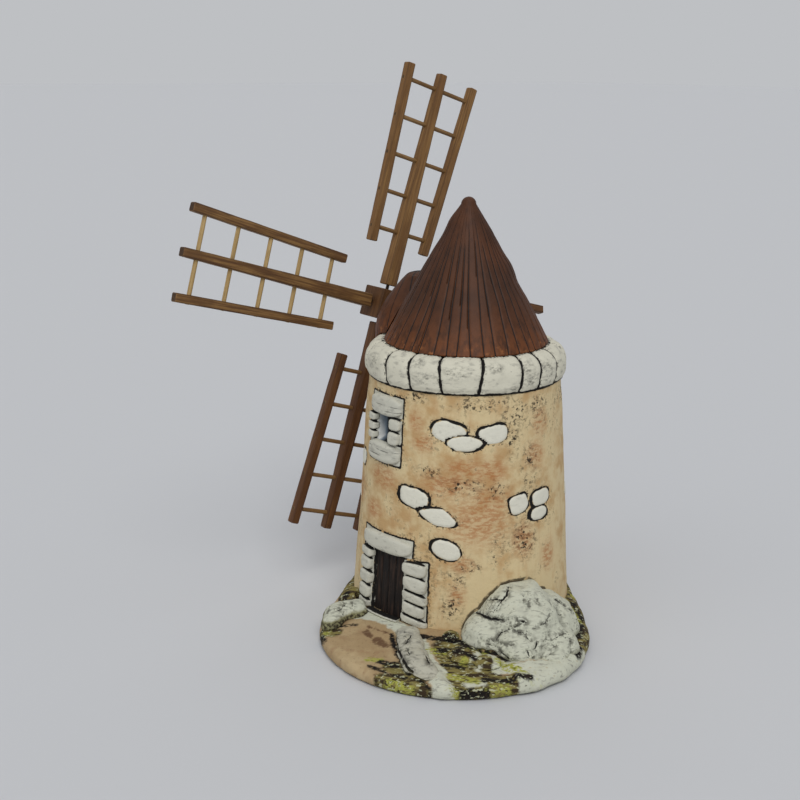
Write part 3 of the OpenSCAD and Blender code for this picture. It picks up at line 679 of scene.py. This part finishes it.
def make_collar():
    shoulder, inner = COLLAR_RADIUS - ROOF_RADIUS, ROOF_RADIUS - COLLAR_WIDTH
    arc = np.radians(np.linspace(0, 90, 16))
    side_z = np.linspace(COLLAR_LOW, COLLAR_HIGH - shoulder, 12)[:-1]
    side_radius = COLLAR_RADIUS - COLLAR_TUCK * ramp(COLLAR_LOW + TUCK_HEIGHT, COLLAR_LOW, side_z)
    arc_radius, arc_z = ROOF_RADIUS + shoulder * np.cos(arc), COLLAR_HIGH - shoulder + shoulder * np.sin(arc)
    turn = np.linspace(0, 360, COLLAR_COLUMNS, endpoint=False)
    radius = np.r_[side_radius, arc_radius, inner, inner][:, None]
    z = np.r_[side_z, arc_z, COLLAR_HIGH, COLLAR_LOW][:, None]
    lean = JOINT_LEAN * (z - COLLAR_LOW) / (COLLAR_HIGH - COLLAR_LOW)
    aside = [np.abs(wrapped(turn - at - lean * np.sign(at - MIDDLE_TURN))) for at in COLLAR_JOINTS]
    joint = np.radians(np.min(aside, axis=0)) * COLLAR_RADIUS / MM
    pillow = 0.5 * ramp(0, 3.2, joint) - 0.8 * np.exp(-(joint / 0.6) ** 2)
    uneven = lumps(ring_points(turn, radius, z), COLLAR_LUMPS, 11)
    push = (uneven + pillow - 0.6) * MM * (radius > inner)
    outward = np.clip((radius - ROOF_RADIUS) / shoulder, 0, 1)
    z = z + push * np.sqrt(1 - outward ** 2) * (z > COLLAR_LOW + 2 * MM)
    radius = radius + push * outward
    piece = new_piece("collar", ring_points(turn, radius, z), grid_faces(*z.shape, loop_rows=True))
    scuff = wall_spots(turn, z, COLLAR_SCUFFS)
    dress(piece, "stone", collar_paint(), "collar_ring", joint=joint, scuff=scuff,
          foot=(z - COLLAR_LOW) / MM, below_roof=(radius - ROOF_RADIUS) / MM)


# Roof and hood

ROOF_LUMPS, HOOD_LUMPS = [(26, 0.8), (4, 0.14)], [(9, 0.3), (2.5, 0.1)]
TIP_RADIUS, ROOF_BELLY, EAVES_WIDTH = 3.2 * MM, 0.9 * MM, 3 * MM
# Bumps and dents in the roof: turn in degrees, share of its height, how far out in mm
ROOF_BUMPS = [
    (-41, 0.86, 0.8), (139, 0.53, 0.8), (139, 0.4, -0.6), (60, 0.3, 0.6), (230, 0.6, 0.9), (300, 0.35, -0.7),
]
ROOF_GROOVES, GROOVE_DEPTH, GROOVE_WIDTH = 41, 0.5, 0.3
# Columns of points between two grooves: mm from either groove, and shares of the gap
NEAR_GROOVE, BETWEEN_GROOVES = (0.0, 0.25, 0.6), (0.25, 0.4, 0.55, 0.7, 0.85)
# Steps between the hood's grooves in degrees, and how far in mm its flat front goes back
HOOD_STEP, HOOD_FRONT = 17.0, 0.8
# A distance in mm from a groove at which nothing of it shows
NO_GROOVE = 2.0


def make_roof():
    lines = np.arange(ROOF_GROOVES) * 360 / ROOF_GROOVES + rng.uniform(-2.0, 2.0, ROOF_GROOVES)
    share = np.linspace(0, 1, 96)
    slope = ROOF_RADIUS + (TIP_RADIUS - ROOF_RADIUS) * share + ROOF_BELLY * np.sin(math.pi * share)
    cap, cap_z = np.radians(np.linspace(15, 80, 6)), ROOF_HIGH - TIP_RADIUS
    radius = np.r_[ROOF_RADIUS - EAVES_WIDTH, slope, TIP_RADIUS * np.cos(cap)]
    slope_z = ROOF_LOW + (cap_z - ROOF_LOW) * share
    z = np.r_[ROOF_LOW, slope_z, cap_z + TIP_RADIUS * np.sin(cap)]
    height = np.clip((z - ROOF_LOW) / (ROOF_HIGH - ROOF_LOW), 0, 1)
    wander = rng.uniform(-1.6, 1.6, (ROOF_GROOVES, 2))
    ends = rng.uniform(0.74, 1.02, (ROOF_GROOVES, 1))
    paths = lines[:, None] + wander[:, :1] * np.sin(2.1 * height) + wander[:, 1:] * np.sin(5.3 * height)
    gap = np.maximum((np.roll(paths, -1, axis=0) - paths) % 360, 0.5)
    width = np.radians(gap) * radius / MM
    near = [np.minimum(away, 0.2 * width) / width for away in NEAR_GROOVE]
    between = [np.full(width.shape, part) for part in BETWEEN_GROOVES]
    places = np.array(near + between + [1 - part for part in near[:0:-1]])
    fade = ramp(ends, ends - 0.12, height)
    faded = np.where(places < 0.5, fade, np.roll(fade, -1, axis=0))
    thinning = np.clip(radius / (24 * MM), 0.3, 1)
    distance = np.minimum(places, 1 - places) * width / thinning
    depth = GROOVE_DEPTH * faded * thinning * np.exp(-(distance / GROOVE_WIDTH) ** 2)
    fields = paths + gap * places, depth, distance + NO_GROOVE * (1 - faded)
    turn, depth, distance = (field.swapaxes(0, 1).reshape(-1, len(z)).T for field in fields)
    rows, columns = turn.shape
    radius, z, height = radius[:, None], z[:, None], height[:, None]
    uneven = lumps(ring_points(turn, radius, z), ROOF_LUMPS, 21)
    for at, level, out in ROOF_BUMPS:
        uneven += out * np.exp(-(wrapped(turn - at) / 28) ** 2 - ((height - level) / 0.07) ** 2)
    radius = radius + (uneven - depth) * MM * np.clip(radius / (8 * MM), 0, 1)
    poles = [(0, 0, ROOF_LOW), (0, 0, ROOF_HIGH)]
    points = np.r_[ring_points(turn, radius, z).reshape(-1, 3), poles]
    faces = grid_faces(rows, columns).tolist()
    last = (rows - 1) * columns
    for i in range(columns):
        after = (i + 1) % columns
        faces += [(turn.size, after, i), (turn.size + 1, last + i, last + after)]
    piece = new_piece("roof", points, faces)
    dress(piece, "roof", roof_paint(), "roof_cone", groove=np.append(distance, [NO_GROOVE] * 2),
          above_edge=(points[:, 2] - ROOF_LOW) / MM)


def make_hood():
    piece, points, _ = pressed_clay("hood", "roof_hood", 0.55, 4, HOOD_LUMPS)
    x, y, z = points.T
    behind = y - (HOOD_LOW.y + HOOD_HIGH.y) / 2
    turn = np.degrees(np.arctan2(x, -behind))
    from_line = np.abs((turn + 4 * np.sin(turn / 13)) % HOOD_STEP - HOOD_STEP / 2)
    away = np.radians(from_line) * np.hypot(x, behind) / MM
    front = y < HOOD_LOW.y + HOOD_FRONT * MM
    dress(piece, "roof", roof_paint(), "roof_hood", groove=np.where(front, NO_GROOVE, away),
          above_edge=(z - ROOF_LOW) / MM)


# Stones round the door and the window

STONE_PAINT = stone_paint()
STONE_PROUD, STONE_BITE = 2.4 * MM, 0.7 * MM
# How round the stones' corners are, where 0 is square, and the open joint between two stones in mm
STONE_ROUNDING, JOINT_GAP = 0.42, 0.1


def pillow_stone(turns, heights, seed, scored, joints):
    """A stone, ready to be joined; its marks are the distances in mm from its joints and scored lines."""
    across, up = 30, 18
    a, b = np.meshgrid(*(np.sin(np.linspace(-math.pi / 2, math.pi / 2, count)) for count in (across, up)))
    x, y = a * np.sqrt(1 - STONE_ROUNDING * b ** 4), b * np.sqrt(1 - STONE_ROUNDING * a ** 4)
    turn, z = np.interp(x, (-1, 1), turns), np.interp(y, (-1, 1), heights) * MM
    rise = np.ptp(heights) / 2 * MM
    base = wall_radius(z)
    flat = ring_points(turn, base, z)
    wobble, shift, fine = (noise(flat, size, seed + more) for size, more in ((5, 0), (6, 5), (2.2, 9)))
    turn = turn + np.degrees(wobble * 0.5 * MM / base)
    z = z + shift * 0.25 * MM
    lines = np.full(z.shape, FAR)
    for line in scored:
        lines = np.minimum(lines, np.abs(y - line + 0.08 * np.sin(3 * a + 9 * line + seed)) * rise / MM)
    crown = np.sqrt(np.maximum(1 - a ** 6, 0) * np.maximum(1 - b ** 6, 0))
    cut = 0.25 * MM * np.exp(-(lines / 0.4) ** 2)
    proud = crown * (STONE_PROUD * (1 + 0.16 * wobble + 0.08 * fine) - cut)
    points = np.r_[ring_points(turn, base + proud, z), ring_points(turn, base - STONE_BITE, z)]
    front = grid_faces(up, across, loop_columns=False)
    index = np.arange(z.size).reshape(z.shape)
    rim = np.r_[index[0], index[1:, -1], index[-1, -2::-1], index[-2:0:-1, 0]]
    after = np.roll(rim, -1)
    sides = np.stack([rim, z.size + rim, z.size + after, after], axis=-1)
    faces = np.r_[front, z.size + front[:, ::-1], sides]
    from_joint = (1 - np.abs(b)) * rise / MM if joints else np.full(z.shape, FAR)
    return faces, points.reshape(-1, 3), np.tile(from_joint.ravel(), 2), np.tile(lines.ravel(), 2)


def make_stones(node, name, joints=(), scored=(), slope=0):
    """The stones on one side of a frame; those of a pile differ in width."""
    low, high, foot, head = node_span(node)
    stones = []
    for lower, upper in zip(joints, joints[1:]):
        shift = rng.uniform(-0.8, 0.8, 2)
        stones.append(((low + shift[0], high + shift[1]), (lower + JOINT_GAP / 2, upper - JOINT_GAP / 2)))
    stones = stones or [((low, high), (foot / MM, head / MM))]
    seeds = range(50 + len(name), 999, 7)
    parts = [pillow_stone(*stone, seed, scored, len(joints)) for stone, seed in zip(stones, seeds)]
    faces, points, from_joint, from_line = joined(parts)
    x, y, z = points.T
    turn = np.degrees(np.arctan2(y, x))
    aside = 2 * (turn - turn.mean()) / np.ptp(turn)
    points[:, 2] -= slope * MM * aside * ramp(z.max() - 2 * MM, z.max() - 11 * MM, z)
    dress(new_piece(name, points, faces), "stone", STONE_PAINT, node, rim=from_joint, scored=from_line)


# How far the leaf's foot goes down behind the sill, and over what height of the leaf
LEAF_DROP, DROP_HEIGHT = 1.7 * MM, 4 * MM


def make_door():
    leaf, points, _ = pressed_clay("door", "door_leaf", 0.28, 2, [(2, 0.1)])
    points[:, 2] -= LEAF_DROP * ramp(DOOR_LEAF[2] + DROP_HEIGHT, DOOR_LEAF[2], points[:, 2])
    moved(leaf, points)
    dress(leaf, "door", door_paint(), "door_leaf")
    sill, points, _ = pressed_clay("door_step", "door_sill", 0.3, 3, [(3, 0.15)])
    z = points[:, 2]
    far = np.full(len(z), FAR)
    dress(sill, "stone", STONE_PAINT, "door_sill", rim=(z.max() - z) / MM, scored=far)


# Ground and rocks

# Dabs and strokes on the ground, by paint: half width and then places from above, in mm
GROUND_STROKES = {
    "earth": [
        (8, (44, 46), (50, 60), (48, 72)), (5, (60, 68), (42, 80), (32, 83)), (3.5, (77, -4), (73, 2)),
        (6, (52, -14), (64, -13)), (4, (-8, 64), (-3, 76)), (6, (-36, 36), (-26, 52), (-19, 62), (-8, 71)),
        (4, (72, 42), (72, 58)), (3, (80, 45), (76, 54), (71, 62)), (4, (-14, 54), (-20, 50)),
        (4, (-36, 36), (-50, 14), (-53, -6), (-44, -30), (-26, -46), (-4, -53), (22, -48), (44, -30)),
    ],
    "white": [
        (3.5, (58, -5), (53, 4), (51, 14), (52, 24)), (2.4, (50, 33), (57, 47), (59, 58)),
        (4, (61, 57), (64, 62), (66, 70)), (1, (44, 60), (37, 58), (36, 64), (38, 68)),
        (1.6, (56, 71), (51, 75)), (1.6, (46, 66)), (5, (34, 83), (25, 83), (16, 83), (6, 80), (0, 76)),
        (3, (39, 71), (33, 76), (22, 79)), (2.5, (35, 69), (22, 73), (12, 75)),
    ],
    "rust": [(1.6, (63, 12), (64, 16)), (2.2, (64, 20), (64, 26)), (0.4, (60, 9), (57, 23))],
    "lime": [
        (2.2, (53, 42), (49, 47)), (2, (40, 53), (35, 58)), (2.4, (36, 68), (34, 78)),
        (2, (58, 62), (52, 72)), (1, (79, 48), (74, 58)), (1.6, (76, 31), (72, 34)),
        (1.4, (51, 77), (43, 81)), (2.2, (75, -1)), (0.8, (63, 69), (58, 74)), (1.8, (48, 59)),
        (1.2, (-24, 50), (-20, 58)), (1.6, (-38, -34)), (1.4, (-51, 8)), (1.4, (-10, -52)), (1.6, (-34, 40)),
    ],
    "dark": [
        (1, (75, -5), (69, -1), (63, 4)), (0.9, (77, -4), (79, 4)), (1.6, (-28, 46), (-24, 56)),
        (1.8, (-18, 60), (-10, 68)), (1.8, (48, 31), (44, 37)), (1.8, (43, 38), (36, 50)),
        (2, (48, 45), (42, 51), (37, 56)), (1.8, (34, 58), (31, 68)), (1.6, (49, 73), (41, 79), (33, 83)),
        (1.2, (60, 72), (55, 76), (51, 78)), (1.2, (47, 52), (43, 61)), (1.8, (73, 36), (70, 42)),
        (0.8, (79, 35), (76, 45), (73, 52)), (0.9, (70, 55), (69, 63)), (0.4, (82, 44), (78, 55), (73, 63)),
        (1, (57, 22), (62, 31), (67, 42), (70, 51)), (1.4, (55, 54), (50, 61)), (1.5, (-4, 66), (-6, 70)),
        (1.2, (-3, 76), (4, 80)), (1.2, (60, -10), (54, -16)), (1.2, (-44, -26), (-36, -36)),
        (1, (-50, 14), (-52, 4)), (1, (-14, -50), (-4, -52)),
    ],
}
# Where rock spreads over the ground to the rim, from the outcrop and from the kerb
ROCK_SKIRT = [
    (4.5, (35, 81), (25, 83), (15, 82), (5, 79), (0, 75)), (4, (32, 74), (22, 77), (12, 77)),
    (3, (60, 54), (64, 62), (66, 71)),
]
# Cracks and dark strokes in the rocks, with painted shade beside them: half width and then places in mm
OUTCROP_CRACKS = [
    (0.4, (16, 50, 31), (20, 53, 29), (22, 53, 27), (23, 46, 24)), (0.2, (22, 53, 27), (26, 53, 23)),
    (0.5, (27, 43, 18), (28, 47, 19), (28, 54, 20), (26, 60, 21), (21, 66, 22)),
    (0.2, (30, 59, 13), (28, 59, 16), (26, 62, 18), (20, 66, 21)),
    (0.1, (25, 65, 18), (22, 67, 17), (22, 70, 15)), (0.1, (32, 58, 13), (31, 63, 13), (29, 68, 14)),
    (0.3, (35, 54, 12), (32, 61, 11), (32, 68, 9), (28, 73, 7), (24, 75, 9)),
    (-0.1, (13, 57, 30), (16, 60, 28)), (-0.1, (14, 61, 28), (16, 63, 25)),
    (-0.1, (8, 60, 28), (11, 63, 26)),
    (0.1, (9, 69, 22), (12, 70, 20), (15, 70, 20)), (0.2, (3, 63, 25), (2, 65, 23), (-1, 66, 19)),
    (0, (13, 71, 15), (17, 74, 12)), (0, (12, 76, 13), (16, 77, 11), (20, 76, 9)),
    (0.3, (19, 72, 14), (21, 73, 12)), (0.1, (12, 74, 14), (3, 73, 15)), (0.2, (4, 77, 12), (7, 80, 7)),
    (0.2, (25, 72, 12), (25, 74, 10)), (0.3, (-4, 60, 24), (-8, 64, 18)),
]
LEDGE_CRACKS = [
    (0.1, (60, -10, 14), (62, -6, 13), (66, -5, 12)), (0, (66, -12, 13), (70, -8, 12)),
    (0, (58, -6, 13), (60, -3, 12)),
]
KERB_CRACKS = [
    (0.7, (57, 24, 9), (62, 32, 9), (67, 42, 9), (70, 52, 8)), (0.3, (54, 32, 11), (60, 36, 11)),
    (0.2, (62, 40, 10), (64, 44, 10)), (0.4, (58, 48, 10), (62, 54, 9)),
]
CRACK_DEPTH = 0.5 * MM


def make_ground():
    """The ground and the banks, which are mossy earth all over."""
    paint = ground_paint()
    forms = [
        ("ground", "ground_base", 0.8, 5, [(30, 1.1), (7, 0.5), (2.5, 0.15)], 0.6),
        ("moss_bank", "moss_banks", 0.6, 10, [(7, 0.7), (2.5, 0.35)]),
    ]
    for name, node, *form in forms:
        piece, points, normals = pressed_clay(name, node, *form)
        skirt = ramp(1.5, -2.5, stroke_distance(points[:, :2] / MM, ROCK_SKIRT))
        rise = skirt * ramp(0, 3 * MM, points[:, 2]) * (1.6 + 1.4 * noise(points, 8, 33)) * MM
        points, _ = moved(piece, points + normals * rise[:, None])
        for dab, strokes in GROUND_STROKES.items():
            away = stroke_distance(points[:, :2] / MM, strokes)
            mossy = name == "moss_bank" and dab == "earth"
            mark(piece, **{dab: np.minimum(away, -1.5) if mossy else away})
        dress(piece, "ground", paint, node)


def make_rocks():
    """The kerb, the ledge and the outcrop, with moss up to a height in mm; returns the outcrop's points."""
    forms = [
        ("kerb", "path_kerb", 0.55, 14, [(12, 1.4), (4, 0.7)], KERB_CRACKS, 10, KERB_GREY, 0.15, 1.7),
        ("ledge", "rock_ledge", 0.55, 8, [(9, 0.8), (3, 0.3)], LEDGE_CRACKS, 11.4, CHALK, 0.9, 0.7),
        ("outcrop", "rock_outcrop", 0.65, 22, [(16, 1.5), (6, 0.7)], OUTCROP_CRACKS, 10, CHALK, 0.35, 0.7),
    ]
    for name, node, voxel, rounding, layers, cracks, moss_height, *look in forms:
        piece, points, normals = pressed_clay(name, node, voxel, rounding, layers)
        crack = stroke_distance(points / MM, laid_on(points, cracks))
        depth = CRACK_DEPTH * ramp(0.9, -0.1, crack)
        points, _ = moved(piece, points - normals * depth[:, None])
        x, y, z = points.T / MM
        foot = z - moss_height + 0.09 * np.maximum(np.hypot(x, y) - 53, 0)
        dress(piece, "rock", rock_paint(f"{name}_paint", *look), node, crack=crack, foot=foot)
    return points


# Sails

SAIL_LEAN = 17.8
# Sails: twist in degrees, two shades of the wood, partly painted light and shade, and kind of rungs
SAILS = {
    "upper": (-1.6, "#9a7444", "#74512d", "plain"),
    "left": (-20.3, "#76512e", "#55371e", "pale"),
    "lower": (1.4, "#76502f", "#573720", "plain"),
    "right": (4.8, "#9a7545", "#604126", "pale"),
}
RUNG_SHADES = {"pale": ("#cdb07c", "#a88a58"), "plain": ("#96754a", "#755632")}
SAIL_LENGTH, STOCK_START = 112 * MM, 9.35 * MM
STOCK_FOOT, STOCK_TIP, RAIL_SIZE = 6.3 * MM, 4.0 * MM, 4.0 * MM
RAIL_START, RAIL_END = 27.6 * MM, 111.4 * MM
RAIL_INNER, RAIL_OUTER = 15.9 * MM, 19.6 * MM
RUNG_RADIUS, RUNG_MARGIN, RUNG_COUNT, RUNG_PROUD = 1.0 * MM, 7 * MM, 5, 0.12 * MM
PIN_RADIUS, PIN_BITE = 0.8 * MM, 4.5 * MM
HUB_HALF, SHAFT_RADIUS = 7.25 * MM, 3.0 * MM
# How rounded the corners of the strips and of the hub are, where 1 is round
STRIP_CORNER, HUB_CORNER, ROUND = 0.22, 0.08, 1.0
SHARP_ANGLE = math.radians(42)


def spin(degrees, axis):
    """Matrix of a turn about an axis."""
    return Matrix.Rotation(math.radians(degrees), 4, axis)


def sail_place(index, twist):
    """Matrix from a sail's own frame, with its length along +Z, to the row frame."""
    return Matrix.Translation(HUB) @ spin(-SAIL_LEAN - 90 * index, "Y") @ spin(twist, "Z")


def stick(start, end, half, corner, wear, stations, sides=3, beside=(0, 1, 0)):
    """A bar with one half width or two, ready to be joined; its marks are its grain, section and ends.

    Its corners are rounded, and its sides face beside and wander by wear in mm.
    """
    start, end = np.array(start), np.array(end)
    length = np.linalg.norm(end - start)
    along = (end - start) / length
    across = np.cross(along, beside)
    across = across / np.linalg.norm(across)
    other = np.cross(along, across)
    quarter = np.repeat(np.arange(4), sides + 1) * 90
    angle = np.radians(quarter + np.tile(np.linspace(0, 90, sides + 1), 4))
    diagonal = np.radians(quarter + 45)
    square = np.sign(np.column_stack([np.cos(diagonal), np.sin(diagonal)]))
    section = square * (1 - corner) + corner * np.column_stack([np.cos(angle), np.sin(angle)])
    half_start, half_end = np.broadcast_to(half, 2)
    bevel = min(0.35 * MM, 0.2 * half_start)
    inside = np.linspace(0, length, stations)[1:-1]
    places = np.r_[0, 0, bevel, inside, length - bevel, length, length][:, None, None]
    halves = half_start + (half_end - half_start) * places / length
    halves[[0, 1, -2, -1]] *= 1 - bevel / half_start
    seed = int(rng.integers(1, 9999))
    offset = rng.uniform(-1, 1, 3) * 0.3
    local = section * halves
    points = start + along * places + local[..., :1] * across + local[..., 1:] * other
    outward = section / np.linalg.norm(section, axis=1)[:, None]
    uneven = noise(points + seed, 9, seed, 2)[..., None] * wear * MM
    points = points + uneven * (outward[:, :1] * across + outward[:, 1:] * other)
    grain = np.dstack([local, np.broadcast_to(places[..., 0], local.shape[:2])]) + offset
    sections = np.broadcast_to(np.pad(section, ((0, 0), (0, 1))), points.shape)
    ends = np.zeros(local.shape[:2])
    ends[[0, -1]] = 1
    around = len(section)
    caps = [range(around)[::-1], range(ends.size - around, ends.size)]
    faces = grid_faces(len(places), around).tolist() + caps
    return faces, *(part.reshape(-1, 3) for part in (points, grain, sections)), ends.ravel()


def make_sticks(name, node, slot, paint, sticks, place):
    """One piece of several sticks, moved from their own frame to a place."""
    faces, points, grain, sections, ends = joined(sticks)
    piece = new_piece(name, points @ np.array(place.to_3x3()).T + np.array(place.translation), faces)
    piece.data.set_sharp_from_angle(angle=SHARP_ANGLE)
    dress(piece, slot, paint, node, "sails", grain=grain, section=sections, end=ends)


def rail_stick(side):
    """The rail on one side of the stock, 1 or -1."""
    start, end = (side * RAIL_INNER, 0, RAIL_START), (side * RAIL_OUTER, 0, RAIL_END)
    return stick(start, end, RAIL_SIZE / 2, STRIP_CORNER, 0.1, 36)


def rung_stick(r):
    """The rung at a distance from the hub, which goes through the stock and both rails."""
    reach = np.interp(r, [RAIL_START, RAIL_END], [RAIL_INNER, RAIL_OUTER]) + RAIL_SIZE / 2 + RUNG_PROUD
    return stick((-reach, 0, r), (reach, 0, r), RUNG_RADIUS, ROUND, 0.08, 18, 4)


def make_sails():
    woods = {sail: wood_paint(f"{sail}_wood", *row[1:3]) for sail, row in SAILS.items()}
    rung_woods = {kind: wood_paint(f"{kind}_rung_wood", *shades) for kind, shades in RUNG_SHADES.items()}
    iron = iron_paint()
    stock = (0, 0, STOCK_START), (0, 0, SAIL_LENGTH), (STOCK_FOOT / 2, STOCK_TIP / 2)
    pin = (0, 0, HUB_HALF - PIN_BITE), (0, 0, STOCK_START + PIN_BITE), PIN_RADIUS
    rungs = np.linspace(RAIL_START + RUNG_MARGIN, RAIL_END - RUNG_MARGIN, RUNG_COUNT)
    for index, (sail, (twist, _, _, kind)) in enumerate(SAILS.items()):
        parts = [
            ("stock", "sail_wood", woods[sail], [stick(*stock, STRIP_CORNER, 0.12, 40)]),
            ("rail_a", "sail_wood", woods[sail], [rail_stick(1)]),
            ("rail_b", "sail_wood", woods[sail], [rail_stick(-1)]),
            ("rungs", "rung_wood", rung_woods[kind], [rung_stick(r) for r in rungs]),
            ("pin", "pin_metal", iron, [stick(*pin, ROUND, 0, 6)]),
        ]
        for part, slot, paint, sticks in parts:
            place = sail_place(index, 0 if part == "pin" else twist)
            make_sticks(f"{sail}_{part}", f"sail_{sail}_{part}", slot, paint, sticks, place)
    hub = stick((0, 0, -HUB_HALF), (0, 0, HUB_HALF), HUB_HALF, HUB_CORNER, 0.15, 20)
    make_sticks("hub", "hub_block", "sail_wood", woods["left"], [hub], sail_place(0, 0))
    ends = ((0, corner.y, HUB.z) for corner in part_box("windshaft"))
    shaft = stick(*ends, SHAFT_RADIUS, ROUND, 0, 12, 6, beside=(-1, 0, 1))
    make_sticks("shaft", "windshaft", "sail_wood", woods["left"], [shaft], Matrix.Identity(4))


# Stage: floor, light and camera

FLOOR_REACH = 12
# Lamps: name, turn, height and spread in degrees, power
LAMPS = [("key", 60, 50, 35, 1.28), ("fill", 0, 30, 60, 0.3), ("rim", 235, 45, 50, 0.3)]
CAMERA_PLACE = Vector((354.7, 412.3, 245.8)) * MM
CAMERA_TURN, CAMERA_PITCH, CAMERA_ROLL = 142.35, 15.13, 0.5
FOCAL_PIXELS, FRAME_PIXELS, SENSOR_WIDTH = 1250, 800, 36


def make_stage():
    corners = [(-1, -1, 0), (1, -1, 0), (1, 1, 0), (-1, 1, 0)]
    floor = new_piece("floor", np.array(corners) * FLOOR_REACH, [(0, 1, 2, 3)])
    floor.data.materials.append(Paint("floor_paint", 0.95, "#d0d1d3").done())
    world = bpy.data.worlds.new("studio")
    bpy.context.scene.world = world
    world.use_nodes = True
    tree = world.node_tree
    sky, backdrop = tree.nodes["Background"], tree.nodes.new("ShaderNodeBackground")
    sky.inputs["Color"].default_value = srgb("#eef1f6")
    sky.inputs["Strength"].default_value = 0.44
    backdrop.inputs["Color"].default_value = srgb("#bec0c3")
    mix, ray = tree.nodes.new("ShaderNodeMixShader"), tree.nodes.new("ShaderNodeLightPath")
    for i, output in enumerate((ray.outputs["Is Camera Ray"], sky.outputs[0], backdrop.outputs[0])):
        tree.links.new(output, mix.inputs[i])
    tree.links.new(mix.outputs[0], tree.nodes["World Output"].inputs["Surface"])
    for name, turn, height, spread, power in LAMPS:
        lamp = bpy.data.lights.new(name, "SUN")
        lamp.angle = math.radians(spread)
        lamp.energy = power
        placed(name, lamp).rotation_euler = (math.radians(90 - height), 0, math.radians(turn + 90))


def make_camera():
    facing = spin(CAMERA_TURN, "Z") @ spin(90 - CAMERA_PITCH, "X") @ spin(CAMERA_ROLL, "Z")
    data = bpy.data.cameras.new("camera")
    data.sensor_width = SENSOR_WIDTH
    data.lens = SENSOR_WIDTH * FOCAL_PIXELS / FRAME_PIXELS
    data.clip_start = 0.01
    data.clip_end = 20
    camera = placed("camera", data)
    camera.matrix_world = Matrix.Translation(CAMERA_PLACE) @ facing
    bpy.context.scene.camera = camera
    bpy.context.scene.view_settings.view_transform = "Standard"


make_stage()
make_camera()
outcrop_points = make_rocks()
make_wall(outcrop_points)
make_collar()
make_roof()
make_hood()
for frame_node, frame_row in FRAME_STONES.items():
    make_stones(frame_node, *frame_row)
make_door()
make_ground()
make_sails()
